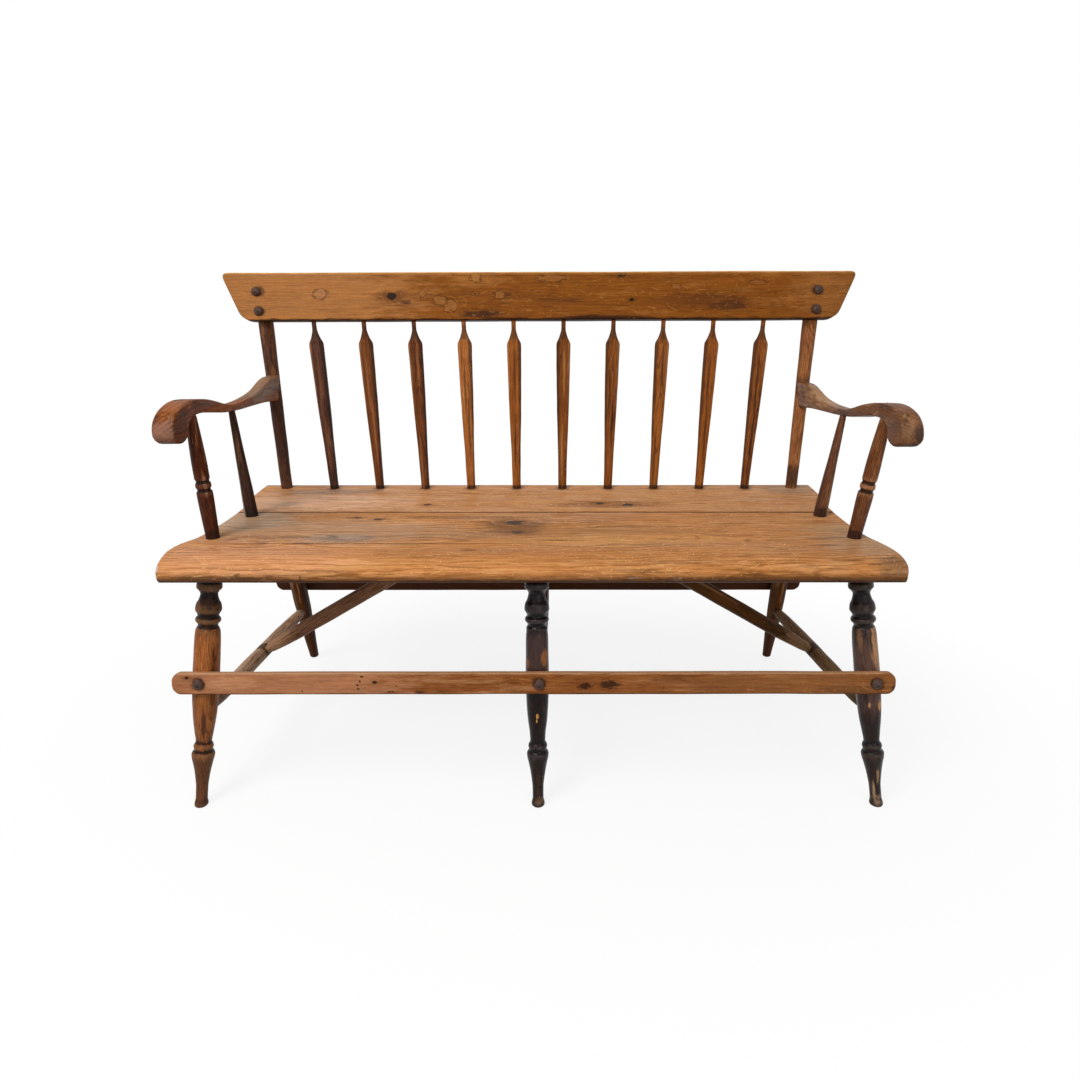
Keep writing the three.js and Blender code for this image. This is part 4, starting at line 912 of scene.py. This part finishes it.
spindle_tones = [
    (("230e08", "412317", "644337"), "6a4028"), (("331506", "5d3013", "7d4a24"), "8f5a34"),
    (("2e1405", "582d10", "7a4621"), "8a5630"), (("5e2d0b", "955424", "be8042"), "3a2212"),
    (("562b08", "884b18", "aa672b"), "2f1a0d"), (("391b05", "6b380e", "8a4e19"), "98683a"),
    (("3f1e07", "743e13", "995a1d"), "2f190d"), (("492508", "854a17", "a36326"), "3f2411"),
    (("452107", "7d4213", "a05f1f"), "331b0d"), (("361605", "703a13", "a1632a"), "2a180d"),
]


def spindle_painted_light(index):
    """Painted shade along one edge and a painted highlight along the other: the right edge is dark and the
    left pale on the left half of the back, and the other way round on the right half.
    """
    turn = 1 if index < 5 else -1
    return [(1, 5.5 * turn, 9.5 * turn, "24140c", 0.65), (1, -8.0 * turn, -11.5 * turn, "a8744a", 0.5)]


for index, (tones, streak) in enumerate(spindle_tones):
    foot = Vector((spindle_x(SPINDLE_FEET, index), SPINDLE_LINE, SEAT_HEIGHT))
    head = back_point(spindle_x(SPINDLE_HEADS, index), RAIL_UP, SPINDLE_FORWARD)
    length = (head - foot).length
    shoulder = length * SHOULDER
    neck = length * NECK
    profile = [(-SOCKET, SPINDLE_FOOT_RADIUS), (0, SPINDLE_FOOT_RADIUS)]
    profile += [(up * shoulder, out * BLADE_WIDTH / 2) for up, out in BLADE]
    profile += [(length * 0.905, 8.2), (neck, NECK_RADIUS), (length + SPINDLE_TENON, NECK_RADIUS)]
    thinness = ([0, shoulder, neck], [1, BLADE_THICKNESS / BLADE_WIDTH, 1])
    squareness = ([0, shoulder * 0.25, shoulder, neck], [2.1, 2.8, 3.6, 2])
    wave = 3 * math.sin(2.4 * index)
    made = wood(
        f"spindle_wood_{index + 1:02d}", tones, seed=23 + index * 3, pith=(18 + 4 * wave, -30), spacing=3.2,
        fibre=2.3, pores=0.5, gloss=(0.34, 0.56), shine=0.1, contrast=0.6, sweep=0.35, pale=0.2,
        # The edge bands are painted shade and a painted highlight.
        edge=spindle_painted_light(index),
        stains_and_shade=[
            ((0, 0, 0), (7, 30, 30), "1e120c", 0.85, 0.3),
            ((90 + 14 * wave, wave, -4), (70, 2.6, 12), streak, 0.75, 0.8),
            ((215 - 9 * wave, -wave, -4), (60, 2.6, 12), streak, 0.7, 0.8),
            ((length * 0.93, 0, 0), (16, 20, 20), "33200f", 0.6, 0.7)],
        blotches=[("2e190e", 90, 4, 0.54, 0.7, 0.45, 1), ("b07f50", 90, 4, 0.58, 0.7, 0.25, 2)])
    body, stand = turned(profile, 44, flatten=thinness, squareness=squareness)
    make_piece(f"spindle_{index + 1:02d}", body, stick_frame(foot, head), made,
               f"arrow_spindle_{index + 1:02d}", stand,
               lumps=(0.4, 12), sharp=32)

# Arms

def arm_point(end, back, rise):
    up = (ARM_LOW + ARM_RISE / 2 - SEAT_HEIGHT) / math.cos(BACK_LEAN)
    rear = back_point(post_across(end, up), up)
    front_drop, rear_drop = end["drop"]
    return Vector((end["sign"] * end["hand"] * (1 - back) + rear.x * back,
                   ARM_FRONT * (1 - back) + rear.y * back,
                   ARM_LOW + ARM_RISE * rise - front_drop * (1 - back) - rear_drop * back))


arm_woods = {
    "left": wood(
        "arm_left_wood", ("361607", "6c3716", "9b5e2c"), seed=61, pith=(-50, -60), spacing=6.5, fibre=2.4,
        rings=0.2, gloss=(0.36, 0.56), scratches=0.3, marks=(30, 9, 0.8), contrast=0.7,
        stains_and_shade=[
            ((-6, 0, 20), (22, 26, 22), "866151", 0.8, 0.5), ((14, 0, 0), (50, 40, 7), "2e1911", 0.85, 0.5),
            ((20, -18, 22), (30, 5, 40), "4a2a1a", 0.6, 0.7),
            ((360, 0, 40), (90, 40, 40), "8a6e56", 0.7, 0.7), ((34, 0, 56), (50, 26, 9), "9a6244", 0.5, 0.8),
            ((72, 4, 58), (10, 9, 6), "1f120c", 0.85, 0.3), ((-2, 8, 44), (12, 10, 9), "4d2c1e", 0.7, 0.8)],
        blotches=[("a07c60", 60, 18, 0.53, 0.68, 0.5, 1), ("2a160e", 50, 12, 0.54, 0.66, 0.7, 2)]),
    "right": wood(
        "arm_right_wood", ("2c160c", "673d20", "95673e"), seed=67, pith=(50, -60), spacing=6.5, fibre=2.4,
        rings=0.2, gloss=(0.32, 0.54), shine=0.12, scratches=0.35, marks=(30, 9, 0.8), contrast=0.7,
        stains_and_shade=[
            ((-6, 0, 30), (26, 26, 26), "7a5940", 0.7, 0.7),
            ((-4, -10, 24), (16, 12, 20), "2b1b14", 0.75, 0.7),
            ((14, 0, 0), (50, 40, 9), "241610", 0.85, 0.5),
            ((340, 0, 34), (110, 40, 44), "ab8460", 0.75, 0.7),
            ((72, -4, 58), (10, 9, 6), "1f120c", 0.8, 0.3), ((20, 18, 22), (30, 5, 40), "6d4a34", 0.6, 0.7)],
        blotches=[("a5825f", 60, 18, 0.53, 0.68, 0.5, 1), ("24150f", 50, 12, 0.54, 0.66, 0.7, 2)]),
}
for side, end in ENDS.items():
    outline = rounded_line([(b * 10, r) for b, r in ARM_OUTLINE], 132)
    outline[:, 0] /= 10
    centre = np.array([tuple(arm_point(end, b, r)) for b, r in outline])
    run = np.gradient(centre[:, 1:], axis=0)
    normal = np.column_stack([run[:, 1], -run[:, 0]])
    normal /= np.linalg.norm(normal, axis=1)[:, None]
    half = ARM_WIDTH / 2 * through(ARM_TAPER, np.clip(outline[:, 0], 0, 1))
    place = frame_at(arm_point(end, 0, 0), (0, 1, 0), (-1, 0, 0))
    to_local = place.inverted()
    # The hand is worn rounder on its outer side
    inner = np.full(len(outline), 4.2)
    outer = 4.2 + 4.6 * np.clip(1 - outline[:, 0] / 0.35, 0, 1)
    softs = (inner, outer) if end["sign"] > 0 else (outer, inner)
    spread = [(-1, a) for a in np.linspace(0, math.pi / 2, 7)]
    spread += [(s, None) for s in np.linspace(-1, 1, 9)[1:-1]]
    spread += [(1, a) for a in np.linspace(math.pi / 2, 0, 7)]
    loops = []
    for side_sign, angle in spread:
        loop = []
        for point, out, wide, left_soft, right_soft in zip(centre, normal, half, *softs):
            across, inset = np.interp(side_sign, [-1, 1], [left_soft - wide, wide - right_soft]), 0
            if angle is not None:
                soft = right_soft if side_sign > 0 else left_soft
                across = side_sign * (wide - soft * (1 - math.cos(angle)))
                inset = soft * (1 - math.sin(angle))
            spot = Vector((point[0] + across, point[1] - out[0] * inset, point[2] - out[1] * inset))
            loop.append(tuple((to_local @ ((spot + ORIGIN) * MM)) / MM))
        loops.append(loop)
    make_piece(f"arm_{side}_piece", skin(loops, "strip"), place, arm_woods[side], f"arm_{side}",
               lumps=(0.6, 30), sharp=45)

    # The turned post under the hand, whose tenon shows on top
    post_foot, post_in = end["arm_post"]
    foot = Vector((end["sign"] * post_foot, SEAT_DEPTH * ARM_POST_FOOT, SEAT_HEIGHT))
    head = arm_point(end, ARM_POST_HEAD, 1)
    head.x -= end["sign"] * post_in
    length = (head - foot).length - FIT
    profile = [(-SOCKET, ARM_POST_TENON), (0, ARM_POST_TENON)]
    profile += [(up * length, out * ARM_POST_RADIUS) for up, out in ARM_POST]
    profile += [(length - 25, 8.3), (length - 21, 6.1), (length - 0.6, 6.1), (length + 0.2, 5.6)]
    left = side == "left"
    made = wood(
        f"arm_post_wood_{side}", ("240801", "3f1604", "5e2d10") if left else ("3a1a06", "683a1d", "8f5d38"),
        seed=71 if left else 73, pith=(22, -26), spacing=3.0, gloss=(0.32, 0.54), shine=0.12,
        relief=("6f4632" if left else "b5855a", "120906", 0.5),
        stains_and_shade=[
            ((2, 0, 0), (16, 40, 40), "1a0f0b", 0.85, 0.5), ((45, 0, 0), (50, 40, 40), "3c2018", 0.45, 0.8),
            ((90, 7, -9), (20, 3, 5), "9a7258", 0.7, 0.6)],
        blotches=[("26120b", 70, 6, 0.54, 0.7, 0.45, 1), ("a57650", 60, 5, 0.58, 0.7, 0.5, 2)])
    make_stick(f"arm_turning_{side}", foot, head, profile, made, f"arm_post_{side}", (0.3, 14),
               facets=10, facet_depth=0.25)

    spindle_foot, spindle_in = end["arm_spindle"]
    foot = Vector((end["sign"] * spindle_foot, SEAT_DEPTH * ARM_SPINDLE_FOOT, SEAT_HEIGHT))
    head = arm_point(end, ARM_SPINDLE_HEAD, ARM_SPINDLE_RISE)
    head.x -= end["sign"] * spindle_in
    length = (head - foot).length
    profile = [(-SOCKET, ARM_SPINDLE_RADIUS), (0, ARM_SPINDLE_RADIUS), (length * 0.35, 9.8),
               (length * 0.7, 7.5), (length, 5.6), (length + 6.5, 4.4)]
    made = wood(
        f"arm_spindle_wood_{side}",
        ("140703", "2a150c", "4e3224") if left else ("3f1f0a", "603924", "85593e"), seed=79 if left else 83,
        pith=(22, -26), spacing=3.0, gloss=(0.34, 0.56), shine=0.12,
        stains_and_shade=[((2, 0, 0), (16, 40, 40), "17100c", 0.8, 0.6)],
        blotches=[("1d120c", 70, 6, 0.54, 0.7, 0.45, 1), ("9a6b42", 80, 4, 0.6, 0.7, 0.5, 2)],
        # Painted highlight along one edge and painted shade along the other, on opposite edges for the two
        # arms.
        edge=[
            (1, -5, -9, "a58e7e" if left else "4a2d1c", 0.7), (1, 5, 9, "1c110b" if left else "a5826a", 0.5)])
    make_stick(f"arm_stick_{side}", foot, head, profile, made,
               f"arm_spindle_{side}", (0.4, 14), facets=9, facet_depth=0.6)

# Legs

def leg_ends(legs, name, is_front):
    top, foot = legs[name][:2]
    top_y, foot_y = (FRONT_TOP_Y, FRONT_FOOT_Y) if is_front else (REAR_TOP_Y, REAR_FOOT_Y)
    return Vector((foot, foot_y, 0)), Vector((top, top_y, UNDERSIDE))


def leg_point(legs, name, is_front, level):
    foot, top = leg_ends(legs, name, is_front)
    return foot.lerp(top, level / UNDERSIDE)


leg_looks = {
    "left": dict(
        tones=("66300c", "97572a", "b87a48"), relief=("86603f", "120a07", 0.45), gloss=(0.34, 0.54),
        shine=0.12,
        stains_and_shade=[
            # The first two darken the leg's top under the seat: a painted shadow of the seat.
            ((352, 0, 0), (56, 70, 70), "2a1c17", 0.9, 0.45),
            ((390, 0, 0), (18, 60, 60), "1b1a1f", 0.85, 0.3), ((366, 8, -14), (9, 7, 8), "5d4638", 0.8, 0.8),
            ((340, -10, -14), (10, 5, 8), "7c4c2e", 0.8, 0.7),
            ((50, 0, 0), (70, 70, 70), "4d3122", 0.8, 0.5), ((150, 0, 0), (60, 60, 60), "7a4a28", 0.5, 0.7),
            ((222, 15, -10), (60, 4, 12), "4a240e", 0.75, 0.8),
            ((150, 5, -16), (30, 4, 8), "40241a", 0.85, 0.7),
            ((205, -14, -10), (40, 3, 10), "4f2a14", 0.6, 0.9), ((4, 0, 0), (9, 60, 60), "2e2019", 0.6, 0.6)],
        blotches=[("43220c", 60, 4, 0.55, 0.68, 0.6, 1), ("c99468", 50, 4, 0.58, 0.7, 0.35, 2)]),
    "middle": dict(
        # The beads' raised tone here is a painted highlight.
        tones=("060100", "140602", "28150d"), relief=("463b3e", "030202", 0.45), gloss=(0.18, 0.36),
        shine=0.18,
        stains_and_shade=[
            # The first darkens the leg's top under the seat: a painted shadow of the seat.
            ((330, 0, 0), (75, 70, 70), "1f1818", 0.7, 0.6),
            ((262, 0, -10), (44, 34, 30), "4f3833", 0.6, 0.6),
            ((255, 13, -14), (16, 7, 8), "9a6030", 0.8, 0.6),
            ((247, -14, -10), (8, 4, 10), "8a522c", 0.7, 0.6),
            ((160, 0, -17), (5, 2.4, 6), "d9984f", 0.95, 0.35),
            ((152, -1, -17), (4, 1.2, 6), "d9984f", 0.9, 0.35),
            ((40, 0, -6), (40, 4, 12), "4d3020", 0.5, 1.0), ((10, 2, -8), (8, 8, 8), "7a5a40", 0.6, 0.9)],
        blotches=[("0d0808", 60, 9, 0.54, 0.7, 0.55, 1), ("8a5a38", 24, 3, 0.63, 0.72, 0.6, 2)]),
    "right": dict(
        # The beads' raised tone here is a painted highlight.
        tones=("150b09", "33201b", "523c36"), relief=("4b3f38", "050302", 0.45), gloss=(0.22, 0.42),
        shine=0.18,
        stains_and_shade=[
            # The first darkens the leg's top under the seat: a painted shadow of the seat.
            ((335, 0, 0), (75, 70, 70), "150c09", 0.8, 0.6),
            ((272, 9, -10), (46, 7, 20), "cf9864", 0.9, 0.95),
            ((290, -12, -10), (24, 4, 16), "8a5e3e", 0.7, 0.8),
            ((262, 16, -6), (60, 6, 20), "c08c5c", 0.8, 0.9),
            ((178, 11, -12), (11, 5, 8), "b98550", 0.9, 0.5),
            ((181, -6, -14), (7, 2.4, 8), "c09068", 0.8, 0.6),
            ((240, 0, 0), (70, 60, 60), "61463c", 0.5, 0.9),
            ((115, 0, 0), (60, 60, 60), "170d0b", 0.85, 0.7),
            ((40, 0, 0), (50, 60, 60), "1a100c", 0.75, 0.7), ((62, 2, -8), (22, 3, 8), "a5805a", 0.7, 0.9),
            ((30, -5, -8), (18, 2.4, 8), "a58460", 0.7, 0.9), ((12, 0, -6), (10, 8, 9), "8d7560", 0.7, 0.9)],
        blotches=[("120c0a", 60, 9, 0.54, 0.7, 0.45, 1), ("a5744a", 26, 2.6, 0.62, 0.7, 0.7, 2)]),
}
for name, (_, _, shaft) in FRONT_LEGS.items():
    foot, top = leg_ends(FRONT_LEGS, name, True)
    length = (top - foot).length
    profile = [(up * length, out * TURNING_RADIUS) for up, out in ANKLE]
    profile += [(up * length, out * shaft) for up, out in SHAFT]
    profile += [(up * length, out * TURNING_RADIUS) for up, out in VASE]
    profile += [(length, LEG_TENON), (length + SOCKET, LEG_TENON)]
    made = wood(
        f"front_leg_wood_{name}", seed=89 + len(name), pith=(34, -24), spacing=3.4, fibre=2.3, contrast=0.8,
        sweep=0.4, pores=0.7, **leg_looks[name])
    slot = "orange_wood" if name == "left" else "dark_wood"
    make_stick(f"leg_front_{name}", foot, top, profile, made, f"front_leg_{name}", (0.35, 12), 48,
               worn=3)

rear_wood = wood(
    "rear_leg_wood", ("331709", "58300f", "7c4a20"), seed=97, pith=(30, -24), spacing=3.0, fibre=2.4,
    gloss=(0.4, 0.62),
    stains_and_shade=[((8, 0, 0), (12, 60, 60), "3a271a", 0.5, 0.8), ((70, 0, 0), (90, 60, 60), "3c1804", 0.8, 0.8)],
    blotches=[("2c170b", 80, 9, 0.52, 0.7, 0.5, 1), ("c4935c", 70, 6, 0.57, 0.7, 0.5, 2)],
    # The band along the right side is painted shade.
    edge=[(1, 3, 12, "2a170d", 0.7)])
for name in REAR_LEGS:
    foot, top = leg_ends(REAR_LEGS, name, False)
    length = (top - foot).length
    profile = [(up * length, out * REAR_LEG_RADIUS) for up, out in REAR_LEG]
    profile += [(length, LEG_TENON), (length + SOCKET, LEG_TENON)]
    make_stick(f"leg_rear_{name}", foot, top, profile, rear_wood, f"rear_leg_{name}",
               (0.5, 16), 44, 10, 0.7, 3.5)

# Stretcher boards and their pegs

def board_place(is_front):
    legs, board = (FRONT_LEGS, FRONT_BOARD) if is_front else (REAR_LEGS, REAR_BOARD)
    foot, top = leg_ends(legs, "middle", is_front)
    at = leg_point(legs, "middle", is_front, board["level"])
    at.x = BOARD_SHIFT
    return frame_at(at, (1, 0, 0), (0, top.y - foot.y, UNDERSIDE))


def board_end(half):
    def end_at(y):
        over = max(0, abs(y) - (BOARD_HEIGHT / 2 - BOARD_CORNER))
        return half - BOARD_CORNER + math.sqrt(max(0, BOARD_CORNER ** 2 - over ** 2))
    return end_at


board_wood = wood(
    "board_pine", ("5f3110", "844d25", "9c6536"), seed=101, pith=(-60, -40), spacing=5.5, wander=9,
    rings=0.1, fibre=2.6, scratches=0.6, marks=(40, 12, 1.0), pits=0.6, gloss=(0.46, 0.66), contrast=0.8,
    sweep=0.4,
    knots=[(-544, 10, 2.6, "3a1f14")],
    stains_and_shade=[
        ((-400, 0, 20), (230, 60, 60), "aa7454", 0.75, 0.6), ((80, -4, 28), (14, 6, 20), "2b170d", 0.9, 0.8),
        ((118, -1, 28), (20, 8, 20), "2b170d", 0.9, 0.8),
        ((-270, 11.7, 28), (2.8, 1.9, 12), "22120d", 0.95, 0.3),
        ((-273, 4, 28), (2, 2.3, 12), "22120d", 0.95, 0.3),
        ((-277, -2, 28), (2.3, 1.9, 12), "22120d", 0.95, 0.3),
        ((-276, -8, 28), (2, 2, 12), "22120d", 0.95, 0.3),
        ((-250, 2.6, 28), (4.8, 2.6, 12), "22120d", 0.95, 0.5),
        ((-216, -4, 28), (1.6, 1.6, 12), "22120d", 0.95, 0.3),
        ((-225, -13, 28), (6, 1.7, 12), "2e1a12", 0.9, 0.5),
        ((-180, -14, 28), (9, 2, 12), "2e1a12", 0.85, 0.6),
        ((-364, -12, 28), (1.4, 1.4, 12), "22120d", 0.95, 0.3),
        ((500, -10, 28), (60, 7, 20), "5a371c", 0.7, 0.8), ((566, -8, 24), (5, 7, 20), "2c1a12", 0.9, 0.5),
        ((216, 9, 28), (34, 7, 20), "5c371a", 0.6, 0.8), ((-480, 0, 28), (46, 12, 20), "c08a66", 0.5, 0.7),
        ((400, 0, 28), (200, 30, 30), "7f5330", 0.55, 0.8)]
    + [((x, 0, 28), (13, 12, 10), "3a1f14", 0.75, 0.4) for x in (-527, 8, 540)],
    blotches=[
        ("6d3f1c", 130, 13, 0.5, 0.66, 0.55, 1), ("bf8a60", 110, 12, 0.54, 0.68, 0.4, 2),
        ("4d2a14", 50, 5, 0.6, 0.7, 0.5, 3)],
    arcs=[(-358, -18, 28, 0.8, 0.1, 1.2)],
    edge=[(1, 14, 17, "c49a76", 0.5), (1, -14.5, -17, "3a2113", 0.75)])
rear_board_wood = wood(
    "rear_board_pine", ("2a1105", "43200b", "5c3116"), seed=103, pith=(-60, -40), spacing=5.5, rings=0.16,
    fibre=1.9, gloss=(0.5, 0.7),
    blotches=[("331a0c", 130, 13, 0.5, 0.66, 0.6, 1)])
for is_front, board, legs, label, made in ((True, FRONT_BOARD, FRONT_LEGS, "front", board_wood),
                                           (False, REAR_BOARD, REAR_LEGS, "rear", rear_board_wood)):
    place = board_place(is_front)
    end_at = board_end(board["half"])
    near = board["near"]
    far = near + BOARD_THICKNESS
    rows = board_edge(-BOARD_HEIGHT / 2, BOARD_HEIGHT / 2, near, far, 2.2, 2.6, 3)
    make_piece(f"stretcher_{label}", plank(rows, lambda y: -end_at(y), end_at, 2.0), place, made,
               f"{label}_stretcher", lumps=(0.7, 34))
    for number, name in enumerate(legs, 1):
        aside = PEG_ASIDE if is_front and name != "left" else 0
        across = leg_point(legs, name, is_front, board["level"]).x + aside - BOARD_SHIFT
        make_peg(f"board_peg_{label}_{number}", place, across, 0, far if is_front else near,
                 1 if is_front else -1, number * 2.3, f"{label}_stretcher_peg_{number}")

# Side stretchers and braces

stick_looks = {
    "left": (("6a4a34", "a88468", "cfb198"), ("4c2e1f", "7b523a", "a27b62")),
    "middle": (("4a3426", "866a52", "ae917a"), None),
    "right": (("472e1c", "7a5737", "a4825c"), ("261104", "44260b", "694017")),
}
for name in FRONT_LEGS:
    side_tones, brace_tones = stick_looks[name]
    front = leg_point(FRONT_LEGS, name, True, SIDE_FRONT_LEVEL)
    rear = leg_point(REAR_LEGS, name, False, SIDE_REAR_LEVEL)
    length = (rear - front).length
    profile = [(-2, 8)] + [(along * length, out * SIDE_RADIUS) for along, out in SIDE] + [(length + 2, 8)]
    made = wood(
        f"side_stick_wood_{name}", side_tones, seed=107 + len(name), pith=(28, -24), spacing=3.2, fibre=2.5,
        gloss=(0.46, 0.68), contrast=0.75,
        stains_and_shade=[
            # The first darkens the stick round the brace's foot: a dark joint with painted shade about it.
            ((length * BRACE_SHARE, 0, 0), (16, 40, 40), "2a1c15", 0.8, 0.4),
            ((length * 0.96, 0, 0), (16, 40, 40), "3a2a20", 0.6, 0.6),
            ((length * 0.1, 0, 0), (30, 40, 40), "4a382c", 0.6, 0.7)],
        blotches=[("3a2a20", 90, 9, 0.52, 0.7, 0.5, 1), ("b08a66", 90, 8, 0.55, 0.7, 0.5, 2)])
    make_stick(f"side_stick_{name}", front, rear, profile, made, f"side_stretcher_{name}",
               (0.5, 16), facets=9, facet_depth=0.6)
    if not brace_tones:
        continue
    foot = front.lerp(rear, BRACE_SHARE)
    head = Vector((ENDS[name]["sign"] * BRACE_HEAD_X, foot.y, UNDERSIDE))
    length = (head - foot).length
    profile = [(-3, 6.5), (14, 6.5), (length - 8, 8), (length + 30, 8)]
    profile = sorted(profile + [(along * length, out * BRACE_RADIUS) for along, out in BRACE])
    made = wood(
        f"brace_wood_{name}", brace_tones, seed=127 + len(name), pith=(28, -24), spacing=3.2, fibre=2.5,
        gloss=(0.42, 0.64), contrast=0.75,
        stains_and_shade=[((4, 0, 0), (7, 6, 20), "c9b8a8", 0.6, 0.5), ((30, 0, 0), (46, 40, 40), "b58d6a", 0.4, 0.8)],
        blotches=[("241915", 90, 9, 0.52, 0.7, 0.5, 1), ("9a7458", 90, 8, 0.55, 0.7, 0.5, 2)])
    make_stick(f"brace_{name}", foot, head, profile, made, f"seat_brace_{name}", (0.5, 16),
               facets=9, facet_depth=0.6)

# Floor, light and camera

def plain_floor(name, tone):
    """A pale floor that keeps a soft shadow near the bench and looks white further off."""
    material = bpy.data.materials.new(name)
    g = Graph(material)
    far = g.length(g.out("TexCoord", {}, "Object") * (0.8, 1, 1))
    plain = g.out("BsdfDiffuse", {"Color": rgb(tone)})
    bright = g.out("BsdfDiffuse", {"Color": (0.97, 0.97, 0.97, 1)})
    glow = g.out("Emission", {"Color": (1, 1, 1, 1), "Strength": 1.0})
    seen = g.out("MixShader", {0: g.step(far, 0.4, 1.0, 0.84, 1.0), 1: bright, 2: glow})
    g.node("OutputMaterial", {"Surface": g.out("MixShader", {0: g.direct(), 1: plain, 2: seen})})
    return material


floor_mesh = bpy.data.meshes.new("floor")
corners = [(x * FLOOR_REACH, y * FLOOR_REACH, 0) for x, y in ((-1, -1), (1, -1), (1, 1), (-1, 1))]
floor_mesh.from_pydata(corners, [], [(0, 1, 2, 3)])
floor_mesh.materials.append(plain_floor("floor_pale", "a8a6a2"))
floor = show("floor", floor_mesh)
floor.location.z = -FLOOR_DROP * MM

world = bpy.data.worlds.new("studio")
bpy.context.scene.world = world
sky = Graph(world)
soft = sky.out("Background", {"Color": (1, 0.985, 0.96, 1), "Strength": 0.42})
white = sky.out("Background", {"Color": (1, 1, 1, 1), "Strength": 1.0})
sky.node("OutputWorld", {"Surface": sky.out("MixShader", {0: sky.direct(), 1: soft, 2: white})})


def area_light(name, at, size, power, colour):
    """A round lamp that looks at the middle of the bench."""
    lamp = bpy.data.lights.new(name, "AREA")
    lamp.shape = "DISK"
    lamp.size = size
    lamp.energy = power
    lamp.color = colour
    made = show(name, lamp)
    made.location = at
    made.rotation_euler = (Vector((0, 0, 0.45)) - Vector(at)).to_track_quat("-Z", "Y").to_euler()


area_light("key_above", (-1.3, -1.7, 2.6), 1.5, 62, (1, 0.985, 0.96))
area_light("fill_front", (1.3, -2.9, 1.1), 2.0, 26, (1, 0.99, 0.98))

lens = bpy.data.cameras.new("photo_view")
lens.sensor_width = SENSOR
lens.lens = FOCAL_PIXELS / PHOTO_PIXELS * SENSOR
lens.shift_x = (PHOTO_PIXELS / 2 - LENS_MIDDLE[0]) / PHOTO_PIXELS
lens.shift_y = (LENS_MIDDLE[1] - PHOTO_PIXELS / 2) / PHOTO_PIXELS
camera = show("photo_view", lens)
forward = Vector((-math.sin(CAMERA_TURN) * math.cos(CAMERA_DOWN),
                  math.cos(CAMERA_TURN) * math.cos(CAMERA_DOWN), -math.sin(CAMERA_DOWN)))
camera.location = (Vector(CAMERA_PLACE) + ORIGIN) * MM
camera.rotation_euler = forward.to_track_quat("-Z", "Y").to_euler()
bpy.context.scene.camera = camera
bpy.context.scene.view_settings.view_transform = "Standard"

bpy.context.view_layer.update()
